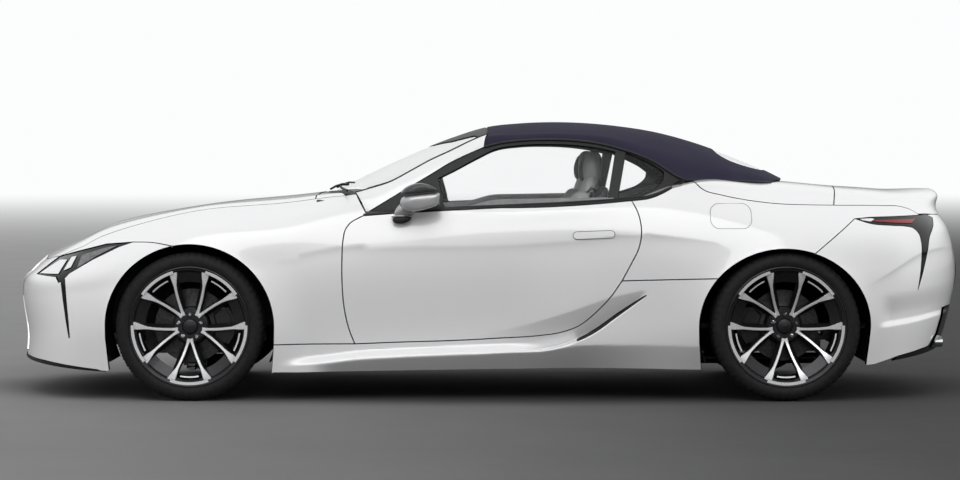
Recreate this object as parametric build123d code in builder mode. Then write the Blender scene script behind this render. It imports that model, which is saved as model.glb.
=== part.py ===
"""Two-door roadster convertible with its fabric roof raised, in millimetres.

Frame: +X points to the tail, -Y is the car's left side, +Z is up. The origin is on the ground,
at the middle of the overall length. Left pieces are modelled and right ones are their mirror images.
"""

import os
from math import cos, radians, sin

from build123d import *

os.makedirs("parts", exist_ok=True)

# ---------------------------------------------------------------- driving dimensions
front_overhang = 937.0
wheelbase = 2870.0
rear_overhang = 963.0
half_width = 960.0
roof_height = 1350.0
length = front_overhang + wheelbase + rear_overhang

tyre_radius = 357.0
front_track = 1630.0
rear_track = 1635.0
front_tyre_width = 245.0
rear_tyre_width = 275.0
arch_radius = 410.0

shut_gap = 5.0  # between a moving panel and its neighbours
seam = 0.4  # between two fixed pieces
skin = 35.0  # hood, boot lid and cover panels
door_inner_y = 765.0  # inner face of the doors and sills
apron_y = 465.0  # inner face of the engine bay's side walls
apron_wall = 20.0
boot_wall_y = 620.0
floor_z = 165.0
floor_wall = 40.0
jack_pad_z = 130.0
plate = 25.0  # bulkheads and trays

# Datums along the car
nose_x = -length / 2
front_x = nose_x + front_overhang
rear_x = front_x + wheelbase
tail_x = rear_x + rear_overhang
cowl_x = front_x + 748.0
door_front_x = front_x + 734.0
door_length = 1439.0
door_rear_x = door_front_x + door_length
hood_rear_x = front_x + 598.0
lid_front_x = rear_x + 349.0
header_x = front_x + 1440.0
bulkhead_x = door_rear_x + 175.0

# ---------------------------------------------------------------- body sections
# One row a section: datum, offset from it, then (inset from the half width, height) of the sill edge,
# lower side, widest line, upper side, panel edge and roll of the top, and last the height at the centre.
BODY_SECTIONS = (
    (nose_x, 0, 660, 185, 600, 300, 575, 430, 585, 490, 630, 525, 760, 538, 545),
    (nose_x, 85, 420, 140, 350, 290, 320, 450, 335, 545, 440, 605, 660, 632, 642),
    (nose_x, 235, 240, 125, 175, 300, 155, 480, 180, 590, 320, 680, 610, 722, 735),
    (nose_x, 485, 100, 135, 55, 330, 45, 520, 67, 640, 260, 790, 560, 828, 840),
    (front_x, 0, 60, 140, 20, 350, 10, 600, 45, 790, 260, 908, 560, 925, 930),
    (front_x, 448, 70, 140, 35, 330, 30, 640, 65, 830, 260, 950, 560, 970, 977),
    (cowl_x, 0, 80, 143, 55, 300, 42, 690, 90, 890, 210, 985, 460, 1000, 1006),
    (door_front_x, 714, 90, 152, 70, 300, 52, 720, 67, 850, 106, 930, 260, 940, 945),
    (door_rear_x, -25, 80, 155, 45, 330, 30, 740, 50, 870, 106, 966, 260, 980, 985),
    (rear_x, -422, 75, 150, 25, 350, 12, 700, 45, 860, 150, 1010, 310, 1052, 1060),
    (rear_x, 0, 70, 150, 15, 350, 0, 640, 30, 800, 180, 948, 400, 1035, 1053),
    (rear_x, 378, 80, 180, 35, 380, 20, 640, 55, 800, 220, 938, 440, 1005, 1022),
    (tail_x, -285, 160, 270, 110, 430, 92, 640, 125, 800, 280, 915, 460, 985, 1004),
    (tail_x, -95, 320, 300, 260, 450, 240, 620, 265, 760, 360, 890, 540, 960, 1000),
    (tail_x, 10, 580, 420, 530, 520, 520, 620, 530, 690, 580, 740, 740, 760, 768),
)


def body_loft(drop=0.0):
    """Smooth body through the sections above, lowered by drop."""
    with BuildPart() as loft_part:
        for datum, offset, sy, sz, ly, lz, wy, wz, uy, uz, ey, ez, ry, rz, top_z in BODY_SECTIONS:
            sill, low, wide, upper, edge, roll = (
                (half_width - y, z - drop)
                for y, z in ((sy, sz), (ly, lz), (wy, wz), (uy, uz), (ey, ez), (ry, rz))
            )
            with BuildSketch(Plane.YZ.offset(datum + offset)):
                with BuildLine():
                    for side in (1, -1):
                        ThreePointArc(*((side * y, z) for y, z in (sill, low, wide)))
                        ThreePointArc(*((side * y, z) for y, z in (wide, upper, edge)))
                        Line((side * edge[0], edge[1]), (side * roll[0], roll[1]))
                    ThreePointArc(roll, (0, top_z - drop), (-roll[0], roll[1]))
                    Line((-sill[0], sill[1]), sill)
                make_face()
        loft(ruled=True)
    return loft_part.part


# Side view of the body: chin, nose, and the tail with its lip and bumper.
side_profile = (
    (nose_x + 140, 112),
    (nose_x + 36, 158),
    (nose_x + 10, 179),
    (nose_x + 26, 215),
    (nose_x + 28, 256),
    (nose_x + 10, 384),
    (nose_x, 462),
    (nose_x + 5, 539),
    (nose_x + 30, 590),
    (nose_x + 98, 652),
    (nose_x + 98, 1400),
    (tail_x - 95, 1400),
    (tail_x - 94, 986),
    (tail_x - 89, 966),
    (tail_x - 97, 940),
    (tail_x - 99, 909),
    (tail_x - 94, 878),
    (tail_x - 58, 832),
    (tail_x - 12, 745),
    (tail_x, 650),
    (tail_x - 4, 565),
    (tail_x - 32, 410),
    (tail_x - 68, 215),
    (tail_x - 197, 163),
    (tail_x - 300, 130),
    (rear_x + 400, 112),
)


def side_prism(points, y_from=-1200.0, y_to=1200.0, grow=0.0):
    """A side-view polygon, grown by grow, extruded from y_from to y_to."""
    with BuildPart() as prism:
        with BuildSketch(Plane.XZ.offset(-y_from)):
            with BuildLine():
                Polyline(*points, close=True)
            make_face()
            if grow:
                offset(amount=grow, kind=Kind.INTERSECTION)
        extrude(amount=y_from - y_to)
    return prism.part


def plan_prism(points, z_from, z_to, grow=0.0):
    """A plan-view polygon for +Y, mirrored about the centre line, grown and extruded upward."""
    with BuildPart() as prism:
        with BuildSketch(Plane.XY.offset(z_from)):
            with BuildLine():
                Polyline(*points, *((x, -y) for x, y in reversed(points) if y > 0), close=True)
            make_face()
            if grow:
                offset(amount=grow, kind=Kind.INTERSECTION)
        extrude(amount=z_to - z_from)
    return prism.part


def block(x_from, x_to, y_from, y_to, z_from, z_to):
    """A plain box between the given limits."""
    with BuildPart() as plain:
        with Locations(((x_from + x_to) / 2, (y_from + y_to) / 2, (z_from + z_to) / 2)):
            Box(x_to - x_from, y_to - y_from, z_to - z_from)
    return plain.part


def cut(base, *tools):
    """Base with every tool taken away."""
    with BuildPart() as result:
        add(base)
        for tool in tools:
            add(tool, mode=Mode.SUBTRACT)
    return result.part


def common(base, *tools):
    """What base shares with every tool."""
    with BuildPart() as result:
        add(base)
        for tool in tools:
            add(tool, mode=Mode.INTERSECT)
    return result.part


def joined(*pieces):
    with BuildPart() as result:
        for piece in pieces:
            add(piece)
    return result.part


def mirrored(piece):
    with BuildPart() as result:
        mirror(piece, about=Plane.XZ)
    return result.part


def export(piece, name):
    piece.label = name
    export_step(piece, f"parts/{name}.step")


body = common(body_loft(), side_prism(side_profile))
body_under_skin = body_loft(skin)
body_under_gap = body_loft(skin + shut_gap)
body_raised = body_loft(-seam)

# ---------------------------------------------------------------- walls: the body made hollow
apron_out = apron_y + apron_wall
boot_wall_out = boot_wall_y + apron_wall
sky = 1400.0
void_outline = (
    (nose_x + 185, 0),
    (nose_x + 185, 420),
    (nose_x + 335, apron_out),
    (hood_rear_x, apron_out),
    (hood_rear_x, door_inner_y),
    (bulkhead_x, door_inner_y),
    (bulkhead_x, boot_wall_y),
    (tail_x - 285, boot_wall_y),
    (tail_x - 175, 480),
    (tail_x - 175, 0),
)
arch_tools = []
for axle_x, inner_y in ((front_x, apron_out - 20), (rear_x, boot_wall_out)):
    for side in (1, -1):
        with BuildPart() as arch:
            with BuildSketch(Plane.XZ.offset(-side * inner_y)):
                with Locations((axle_x, tyre_radius)):
                    Circle(arch_radius)
            extrude(amount=-side * 600)
        arch_tools.append(arch.part)
axle_tunnel = block(rear_x - 240, rear_x + 240, -700, 700, 0, 320)
walls = cut(body, plan_prism(void_outline, 0, sky), axle_tunnel, *arch_tools)

# ---------------------------------------------------------------- hood, cover and boot lid
hood_outline = (
    (hood_rear_x, 0),
    (hood_rear_x, 690),
    (front_x, 700),
    (nose_x + 485, 640),
    (nose_x + 235, 520),
    (nose_x + 150, 250),
    (nose_x + 140, 0),
)
cover_outline = (
    (bulkhead_x + 10, 0),
    (bulkhead_x + 10, door_inner_y),
    (rear_x - 422, 800),
    (rear_x, 775),
    (lid_front_x - shut_gap, 735),
    (lid_front_x - shut_gap, 0),
)
lid_outline = (
    (lid_front_x, 0),
    (lid_front_x, 700),
    (rear_x + 590, 690),
    (tail_x - 230, 610),
    (tail_x - 150, 590),
    (tail_x + 50, 590),
    (tail_x + 50, 0),
)
hood_floor_z = 560.0
pin_radius = 3.5
running_gap = 0.08
hood_hinge_z = 986.0
lid_hinge_z = 1019.5
lid_floor_z = 890.0

hood = common(cut(body, body_under_skin), plan_prism(hood_outline, hood_floor_z, sky))
cover = common(cut(body, body_under_skin), plan_prism(cover_outline, 700, sky))
lid_core = body_under_skin.moved(Location((-skin, 0, 0)))
boot_lid = common(cut(body, lid_core), plan_prism(lid_outline, lid_floor_z, sky))


def rod_y(x, z, radius, y_from, y_to):
    """A round bar along Y."""
    with BuildPart() as rod:
        with BuildSketch(Plane.XZ.offset(-y_from)):
            with Locations((x, z)):
                Circle(radius)
        extrude(amount=y_from - y_to)
    return rod.part


def hinge_pins(x, z, y_places, web_x):
    """Pins on a panel's hinge axis with the webs that carry them, and the pocket that they need."""
    pins = []
    pockets = []
    for y in y_places:
        pins.append(rod_y(x, z, pin_radius, y - 30, y + 30))
        pins.append(block(min(x, web_x), max(x, web_x), y - 8, y + 8, z - 3, z + 3))
        pockets.append(rod_y(x, z, pin_radius + running_gap, y - 30.5, y + 30.5))
        pockets.append(block(x - 6, x + 6, y - 12, y + 12, z - 14, z + 12))
    return joined(*pins), joined(*pockets)


hood_pins, hood_pockets = hinge_pins(hood_rear_x, hood_hinge_z, (-230, 230), hood_rear_x + shut_gap + 4)
lid_pins, lid_pockets = hinge_pins(lid_front_x, lid_hinge_z, (-150, 150), lid_front_x - shut_gap - 4)
hood = cut(hood, hood_pockets)
boot_lid = cut(boot_lid, lid_pockets)
cover = joined(cover, lid_pins)
hood_zone = cut(plan_prism(hood_outline, hood_floor_z - 100, sky, shut_gap), body_under_gap)
cover_zone = cut(plan_prism(cover_outline, 700, sky, seam), body_loft(skin + seam))
lid_zone = plan_prism(lid_outline, lid_floor_z - shut_gap, sky, shut_gap)
shell = cut(walls, hood_zone, cover_zone, lid_zone)

# ---------------------------------------------------------------- doors
door_outline = (
    (door_front_x + 114, sky),
    (door_front_x + 101, 890),
    (door_front_x + 15, 827),
    (door_front_x + 5, 774),
    (door_front_x, 582),
    (door_front_x + 20, 389),
    (door_front_x + 60, 271),
    (-435, 279),
    (239, 310),
    (432, 360),
    (528, 442),
    (634, 582),
    (door_rear_x - 14, 726),
    (door_rear_x, 774),
    (door_rear_x, 825),
    (door_rear_x - 19, 919),
    (door_rear_x - 43, 962),
    (door_rear_x - 49, sky),
)
door_taper = 6.0


def door_prism(grow=0.0):
    """The left door's outline with jambs that narrow inward."""
    with BuildPart() as prism:
        with BuildSketch(Plane.XZ.offset(half_width - 30)) as outline:
            with BuildLine():
                Polyline(*door_outline, close=True)
            make_face()
            if grow:
                offset(amount=grow, kind=Kind.INTERSECTION)
        extrude(outline.sketch, amount=100)
        extrude(outline.sketch, amount=-200, taper=door_taper)
    return prism.part


door_left = common(shell, door_prism())
door_opening = door_prism(shut_gap)
shell = cut(shell, door_opening, mirrored(door_opening))

# ---------------------------------------------------------------- lamps
headlamp_outline = (
    (front_x - 264, 766),
    (front_x - 457, 736),
    (front_x - 610, 684),
    (front_x - 647, 650),
    (front_x - 778, 600),
    (front_x - 778, 575),
    (front_x - 622, 555),
    (front_x - 555, 612),
    (front_x - 457, 680),
    (front_x - 359, 729),
)
tail_lamp_outline = (
    (tail_x - 622, 875),
    (tail_x - 224, 884),
    (tail_x - 110, 878),
    (tail_x - 110, 838),
    (tail_x - 296, 810),
    (tail_x - 300, 527),
    (tail_x - 316, 527),
    (tail_x - 345, 833),
    (tail_x - 549, 848),
)
lamp_inner_y = 560.0
headlamps = joined(
    common(shell, side_prism(headlamp_outline, -1200, -lamp_inner_y)),
    common(shell, side_prism(headlamp_outline, lamp_inner_y, 1200)),
)
tail_lamps = joined(
    common(shell, side_prism(tail_lamp_outline, -1200, -lamp_inner_y - 40)),
    common(shell, side_prism(tail_lamp_outline, lamp_inner_y + 40, 1200)),
)
shell = cut(
    shell,
    side_prism(headlamp_outline, -1200, -lamp_inner_y + seam, seam),
    side_prism(headlamp_outline, lamp_inner_y - seam, 1200, seam),
    side_prism(tail_lamp_outline, -1200, -lamp_inner_y - 40 + seam, seam),
    side_prism(tail_lamp_outline, lamp_inner_y + 40 - seam, 1200, seam),
)

# ---------------------------------------------------------------- grille opening in the nose
grille_outline = ((-430, 470), (-360, 290), (360, 290), (430, 470))


def front_prism(points, x_from, x_to, grow=0.0):
    """A front-view polygon extruded along the car."""
    with BuildPart() as prism:
        with BuildSketch(Plane.YZ.offset(x_from)):
            with BuildLine():
                Polyline(*points, close=True)
            make_face()
            if grow:
                offset(amount=grow, kind=Kind.INTERSECTION)
        extrude(amount=x_to - x_from)
    return prism.part


grille_face_x = nose_x + 60
shell = cut(shell, front_prism(grille_outline, nose_x - 50, nose_x + 300, seam))
grille_frame = cut(
    front_prism(grille_outline, grille_face_x, grille_face_x + 30),
    front_prism(grille_outline, grille_face_x, grille_face_x + 30, -22),
)
grille_bars = [block(grille_face_x, grille_face_x + 30, y - 4, y + 4, 295, 465) for y in range(-360, 361, 40)]
grille = joined(grille_frame, *(common(bar, front_prism(grille_outline, nose_x, 0, -10)) for bar in grille_bars))

# ---------------------------------------------------------------- fixed body panels
bumper_region = (
    (nose_x - 50, 0),
    (front_x, 0),
    (front_x, 700),
    (front_x - 99, 742),
    (front_x - 264, 766),
    (front_x - 457, 736),
    (front_x - 610, 684),
    (front_x - 640, 690),
    (front_x - 640, sky),
    (nose_x - 50, sky),
)
rocker_region = (
    (front_x, 0),
    (front_x, 271),
    (-600, 271),
    (-600, 585),
    (rear_x, 585),
    (rear_x, 0),
)
rear_bumper_region = (
    (rear_x, 0),
    (rear_x, 700),
    (rear_x + 127, 735),
    (tail_x - 622, 875),
    (tail_x - 224, 884),
    (tail_x - 80, 889),
    (tail_x + 50, 889),
    (tail_x + 50, 0),
)
front_bumper = common(shell, side_prism(bumper_region))
jack_pads = [
    block(x - 60, x + 60, y - 25, y + 25, jack_pad_z, 175) for x in (-880, 860) for y in (-810, 810)
]
rockers = joined(common(shell, side_prism(rocker_region)), *jack_pads)
tip_y = 520.0
tip_z = 262.0
rear_bumper = cut(
    common(shell, side_prism(rear_bumper_region)),
    *(block(tail_x - 330, tail_x + 50, y - 70, y + 70, 0, tip_z + 41) for y in (-tip_y, tip_y)),
)
rest = cut(
    shell,
    side_prism(bumper_region, grow=seam),
    side_prism(rocker_region, grow=seam),
    side_prism(rear_bumper_region, grow=seam),
)
ahead = block(nose_x - 50, -60, -1200, 1200, 0, sky)
front_fenders = common(rest, ahead)
rear_wings = cut(rest, ahead)

# ---------------------------------------------------------------- upper body above the belt
# Datum, offset, then (half width, height) at the base and the shoulder, and the height at the centre.
UPPER_SECTIONS = (
    (cowl_x, -90, 812, 880, 720, 950, 1003),
    (cowl_x, 44, 812, 895, 705, 998, 1069),
    (cowl_x, 300, 812, 900, 700, 1096, 1187),
    (cowl_x, 504, 812, 900, 660, 1198, 1269),
    (header_x, 0, 812, 900, 635, 1258, 1324),
    (header_x, 150, 812, 900, 640, 1262, 1343),
    (header_x, 320, 812, 900, 640, 1266, roof_height),
    (header_x, 660, 812, 910, 640, 1232, 1330),
    (header_x, 870, 812, 930, 650, 1150, 1296),
    (header_x, 1020, 812, 950, 655, 1075, 1256),
    (rear_x, -200, 790, 950, 640, 1058, 1182),
    (rear_x, -20, 700, 950, 470, 1052, 1106),
    (rear_x, 70, 600, 950, 260, 1040, 1062),
)


def upper_loft(inset=0.0):
    """Closed form of the windscreen and roof, drawn in by inset."""
    with BuildPart() as loft_part:
        for datum, offset, by, bz, sy, sz, top_z in UPPER_SECTIONS:
            with BuildSketch(Plane.YZ.offset(datum + offset)):
                with BuildLine():
                    ThreePointArc((sy - inset, sz - inset), (0, top_z - inset), (inset - sy, sz - inset))
                    for side in (1, -1):
                        Line((side * (by - inset), bz), (side * (sy - inset), sz - inset))
                    Line((inset - by, bz), (by - inset, bz))
                make_face()
        loft(ruled=True)
    return loft_part.part


upper = upper_loft()
frame_wall = 40.0
roof_wall = 28.0
glass_back = 12.0
glass_front = 7.0
upper_frame_core = upper_loft(frame_wall)
upper_roof_core = upper_loft(roof_wall)
glass_sheet = cut(upper_loft(glass_front), upper_loft(glass_back), body_raised)

pillar_line = ((cowl_x + 99, 880), (cowl_x + 260, 998), (cowl_x + 407, 1085), (cowl_x + 504, 1144), (header_x, 1222))
frame_region = (*pillar_line, (header_x, sky), (cowl_x - 200, sky), (cowl_x - 200, 880))
screen_opening = (
    (cowl_x - 60, 0),
    (cowl_x - 30, 300),
    (cowl_x + 60, 620),
    (cowl_x + 300, 640),
    (header_x - 60, 570),
    (header_x - 85, 0),
)
windscreen_frame = common(
    cut(upper, upper_frame_core, body_raised, plan_prism(screen_opening, 900, sky)),
    side_prism(frame_region),
)
windscreen = common(glass_sheet, plan_prism(screen_opening, 900, sky, -seam))

roof_edge = (
    (header_x + seam, 1227),
    (header_x + 67, 1239),
    (header_x + 155, 1252),
    (header_x + 303, 1257),
    (header_x + 450, 1249),
    (header_x + 549, 1237),
    (header_x + 647, 1212),
    (header_x + 745, 1178),
    (header_x + 819, 1144),
    (header_x + 868, 1109),
    (header_x + 917, 1075),
    (header_x + 962, 1040),
)
roof_region = (*roof_edge, (header_x + 962, 900), (rear_x + 200, 900), (rear_x + 200, sky), (header_x + seam, sky))
rear_window_outline = ((rear_x - 285, 0), (rear_x - 285, 430), (rear_x - 60, 400), (rear_x - 60, 0))
roof_rings = cut(upper, upper_roof_core, body_raised)
soft_top = common(cut(roof_rings, plan_prism(rear_window_outline, 900, sky)), side_prism(roof_region))
rear_window = common(glass_sheet, plan_prism(rear_window_outline, 900, sky, -seam))

door_glass_edge = (
    (cowl_x + 108, 880),
    (cowl_x + 269, 990),
    (cowl_x + 416, 1077),
    (cowl_x + 513, 1136),
    (header_x + 10, 1216),
    (header_x + 67, 1232),
    (header_x + 155, 1245),
    (header_x + 303, 1250),
    (header_x + 450, 1242),
    (header_x + 549, 1230),
    (header_x + 640, 1206),
    (header_x + 640, 880),
)
quarter_edge = (
    (header_x + 655, 880),
    (header_x + 655, 1208),
    (header_x + 745, 1177),
    (header_x + 819, 1143),
    (header_x + 868, 1108),
    (header_x + 917, 1074),
    (header_x + 962, 1039),
    (header_x + 962, 880),
)
door_glass_left = common(glass_sheet, side_prism(door_glass_edge, -1200, 0))
quarter_glass = common(glass_sheet, side_prism(quarter_edge))

# ---------------------------------------------------------------- chassis tub
tub_y = door_inner_y - seam
floor_top = floor_z + floor_wall
firewall_x = hood_rear_x + shut_gap
boot_floor_z = 330.0
scuttle_outline = (
    (firewall_x, 0),
    (firewall_x, tub_y),
    (cowl_x + 140, tub_y),
    (cowl_x + 140, 0),
)
scuttle = common(cut(body, body_under_skin), plan_prism(scuttle_outline, 700, sky))
firewall = common(block(firewall_x, firewall_x + plate, -tub_y, tub_y, floor_z, sky), body_under_skin)
bulkhead = common(block(bulkhead_x - plate, bulkhead_x, -tub_y, tub_y, floor_z, sky), body_loft(skin + seam))
tub_floor = block(firewall_x, bulkhead_x, -tub_y, tub_y, floor_z, floor_top)
boot_y = boot_wall_y - seam
boot_floor = common(
    block(bulkhead_x - plate, tail_x - 175 - seam, -boot_y, boot_y, boot_floor_z, boot_floor_z + plate),
    plan_prism(void_outline, 0, sky, -seam),
)
aprons = [
    block(nose_x + 335, firewall_x, side * apron_y if side > 0 else -apron_out + seam,
          apron_out - seam if side > 0 else -apron_y, 340, 640)
    for side in (1, -1)
]
radiator_support = block(nose_x + 335, nose_x + 365, -apron_out + seam, apron_out - seam, 200, 600)
chassis = joined(tub_floor, firewall, scuttle, bulkhead, boot_floor, radiator_support, hood_pins, *aprons)

# ---------------------------------------------------------------- cabin
seat_y = 370.0
seat_width = 500.0
seat_profile = (
    (-170, floor_top + 0.3),
    (-210, 400),
    (-190, 470),
    (300, 430),
    (440, 900),
    (470, 1020),
    (500, 1180),
    (590, 1190),
    (620, 1050),
    (600, 880),
    (450, floor_top + 0.3),
)
seats = joined(*(
    side_prism(seat_profile, y - seat_width / 2, y + seat_width / 2) for y in (-seat_y, seat_y)
))
console_half = 110.0
console_profile = (
    (-560, floor_top + 0.3),
    (-600, 640),
    (-420, 560),
    (480, 560),
    (520, floor_top + 0.3),
)
console = side_prism(console_profile, -console_half, console_half)
dash_profile = (
    (firewall_x + plate + 0.3, 650),
    (firewall_x + plate + 0.3, 890),
    (-600, 905),
    (-440, 880),
    (-420, 800),
    (-520, 650),
)
dashboard = side_prism(dash_profile, -door_inner_y + 10, door_inner_y - 10)

wheel_tilt = 25.0
column_dir = (cos(radians(wheel_tilt)), 0, sin(radians(wheel_tilt)))
steering_centre = (-230.0, -seat_y, 800.0)
column_start = tuple(c - 330 * d for c, d in zip(steering_centre, column_dir))
rim_radius = 180.0
column_radius = 22.0
with BuildPart() as steering_column:
    with BuildSketch(Plane(column_start, z_dir=column_dir)):
        Circle(column_radius)
    extrude(amount=270)
with BuildPart() as steering_wheel:
    with Locations(Plane(steering_centre, z_dir=column_dir)):
        Torus(rim_radius, 15)
    with BuildSketch(Plane(steering_centre, z_dir=column_dir).offset(-59.7)):
        Circle(42)
    extrude(amount=60)
    with BuildSketch(Plane(steering_centre, z_dir=column_dir).offset(-12)):
        Rectangle(44, 2 * rim_radius)
        with Locations((rim_radius / 2, 0)):
            Rectangle(rim_radius, 36)
    extrude(amount=20)
dashboard = cut(dashboard, steering_column.part)

# ---------------------------------------------------------------- engine and running gear
engine_z = 328.0
engine = block(front_x - 260, front_x + 420, -230, 230, engine_z, 700)

tyre_bead = 262.0
flange_radius = 285.5
barrel_radius = 244.0
hub_radius = 76.0
spindle_radius = 30.0
fit_gap = 0.3
lug_count = 5


def revolved(points, axle_x, centre_y):
    """Revolve (offset from centre_y, radius) points about a wheel's axle."""
    with BuildPart() as ring:
        with BuildSketch(Plane.YZ.offset(axle_x)):
            with BuildLine():
                Polyline(*((centre_y + y, tyre_radius + r) for y, r in points), close=True)
            make_face()
        revolve(axis=Axis((axle_x, 0, tyre_radius), (0, 1, 0)))
    return ring.part


# Name, axle, track, tyre width, depth of the mounting face behind the rim's lip, disc radius.
WHEEL_ROWS = (
    ("front", front_x, front_track, front_tyre_width, 102.0, 178.0),
    ("rear", rear_x, rear_track, rear_tyre_width, 145.0, 172.0),
)
corner = {}
for axle, axle_x, track, width, mount_depth, disc_radius in WHEEL_ROWS:
    middle = -track / 2
    half = width / 2
    tyre_points = (
        (-half + 20, tyre_bead),
        (half - 20, tyre_bead),
        (half - 19, 288),
        (half, 308),
        (half - 6, 338),
        (half - 28, tyre_radius),
        (-half + 28, tyre_radius),
        (-half + 6, 338),
        (-half, 308),
        (-half + 19, 288),
    )
    rim_points = (
        (-half + 8, barrel_radius),
        (half - 8, barrel_radius),
        (half - 8, flange_radius),
        (half - 18.6, flange_radius),
        (half - 18.6, tyre_bead - fit_gap),
        (-half + 18.6, tyre_bead - fit_gap),
        (-half + 18.6, flange_radius),
        (-half + 8, flange_radius),
    )

    corner[axle, "tyre"] = revolved(tyre_points, axle_x, middle)
    lip_y = middle - half + 8
    mount_y = lip_y + mount_depth
    spoke_front_y = lip_y + 20
    spokes = []
    for k in range(lug_count):
        root = radians(90 - 36 - 360 / lug_count * k)
        for lean in (-1, 1):
            tip = root + radians(lean * 19.5)
            ends = ((40, root - 0.5), (250, tip - 0.07), (250, tip + 0.07), (40, root + 0.5))
            arm = [(axle_x + r * cos(a), tyre_radius + r * sin(a)) for r, a in ends]
            spokes.append(side_prism(arm, spoke_front_y, spoke_front_y + 30))
    hub = revolved(
        ((lip_y - middle + 20, 0), (lip_y - middle + 20, hub_radius), (mount_y - middle, hub_radius),
         (mount_y - middle, spindle_radius + running_gap), (mount_y - middle - 30, spindle_radius + running_gap),
         (mount_y - middle - 30, 0)),
        axle_x, middle,
    )
    corner[axle, "wheel"] = joined(revolved(rim_points, axle_x, middle), hub, *spokes)
    disc_y = mount_y + 40
    corner[axle, "disc"] = revolved(
        ((mount_y - middle, spindle_radius + running_gap), (mount_y - middle, hub_radius),
         (disc_y - middle, hub_radius + 6), (disc_y - middle, disc_radius),
         (disc_y - middle + 28, disc_radius), (disc_y - middle + 28, hub_radius - 6),
         (mount_y - middle + 8, hub_radius - 6), (mount_y - middle + 8, spindle_radius + running_gap)),
        axle_x, middle,
    )
    facing = 1 if axle == "front" else -1
    caliper_points = [(axle_x + facing * r * cos(radians(a)), tyre_radius + r * sin(radians(a)))
                      for r, a in ((125, -26), (125, 26), (215, 26), (222, 0), (215, -26))]
    disc_slot = revolved(
        ((disc_y - middle - 5, 0), (disc_y - middle - 5, disc_radius + 5), (disc_y - middle + 33, disc_radius + 5),
         (disc_y - middle + 33, 0)),
        axle_x, middle,
    )
    caliper = cut(side_prism(caliper_points, disc_y - 26, disc_y + 52), disc_slot)
    corner[axle, "caliper"] = caliper
    carrier_y = disc_y + 36
    upright = block(axle_x - 45, axle_x + 45, carrier_y, carrier_y + 55, 187, 520)
    lug = block(axle_x + min(0, facing * 205), axle_x + max(0, facing * 205), disc_y + 52.3, disc_y + 64, 310, 404)
    with BuildPart() as spindle:
        with BuildSketch(Plane.XZ.offset(-carrier_y)):
            with Locations((axle_x, tyre_radius)):
                Circle(spindle_radius)
        extrude(amount=carrier_y - mount_y + 29.5)
    corner[axle, "upright"] = joined(upright, lug, spindle.part)

# Steering: the knuckle's arm reaches ahead of the axle, above the eye of the tie rod.
rack_x = front_x - 133
rack_z = 300.0
rack_radius = 11.0
rack_half = 705.0
kingpin_y = 785.0
steering_arm = block(rack_x - 18, front_x - 40, -735, -685, rack_z + rack_radius + fit_gap, rack_z + 34)
stud_radius = 9.0
arm_z = (138.0, 154.0)
foot_z = (160.0, 172.0)


def upright_rod(x, y, radius, z_from, z_to):
    """A round bar along Z."""
    with BuildPart() as rod:
        with BuildSketch(Plane.XY.offset(z_from)):
            with Locations((x, y)):
                Circle(radius)
        extrude(amount=z_to - z_from)
    return rod.part


knuckle_left = joined(
    corner["front", "upright"],
    steering_arm,
    block(front_x - 45, front_x + 45, -751, -697, foot_z[0], 200),
    block(front_x - 16, front_x + 16, -805, -700, *foot_z),
    upright_rod(front_x, -kingpin_y, stud_radius, arm_z[0], foot_z[0] + 1),
)

steering_rack = rod_y(rack_x, rack_z, rack_radius, -rack_half, rack_half)
housing = cut(
    rod_y(rack_x, rack_z, rack_radius + 14, -330, 330), rod_y(rack_x, rack_z, rack_radius + fit_gap, -340, 340)
)
front_subframe = joined(
    cut(
        block(front_x - 260, front_x + 260, -apron_out, apron_out, 200, 280),
        block(front_x - 110, front_x + 150, -apron_out + 150, apron_out - 150, 0, 400),
        rod_y(rack_x, rack_z, rack_radius + 6, -600, 600),
    ),
    housing,
    *(block(front_x + 175, front_x + 225, y - 25, y + 25, 270, engine_z - fit_gap) for y in (-200, 200)),
    *(block(x - 40, x + 40, side * 475 - 10, side * 475 + 10, 270, 339.7)
      for x in (front_x - 220, front_x + 220) for side in (1, -1)),
)
# Lower arms end in an eye round the ball stud, on the kingpin axis and under the brake disc.
arms = []
for side in (1, -1):
    arms.append(block(front_x - 38, front_x + 38, min(side * 435, side * 680), max(side * 435, side * 680), *arm_z))
    arms.append(block(front_x - 14, front_x + 14, min(side * 670, side * 800), max(side * 670, side * 800), *arm_z))
    arms.append(block(front_x - 38, front_x + 38, side * 455 - 20, side * 455 + 20, arm_z[0], 240))
stud_holes = [upright_rod(front_x, side * kingpin_y, stud_radius + running_gap, 100, 160) for side in (1, -1)]
front_subframe = cut(joined(front_subframe, *arms), *stud_holes)

rear_upright = corner["rear", "upright"]
rear_lower_y = 700.0
rear_subframe = joined(
    cut(
        block(rear_x - 210, rear_x + 210, -560, 560, 215, 300),
        block(rear_x - 120, rear_x + 120, -380, 380, 0, 400),
    ),
    *(block(rear_x - 40, rear_x + 40, min(side * 500, side * rear_lower_y), max(side * 500, side * rear_lower_y), 215, 260)
      for side in (1, -1)),
    *(block(x - 30, x + 30, side * 400 - 30, side * 400 + 30, 300, boot_floor_z - 0.3)
      for x in (rear_x - 160, rear_x + 160) for side in (1, -1)),
    rear_upright,
    mirrored(rear_upright),
)

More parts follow.
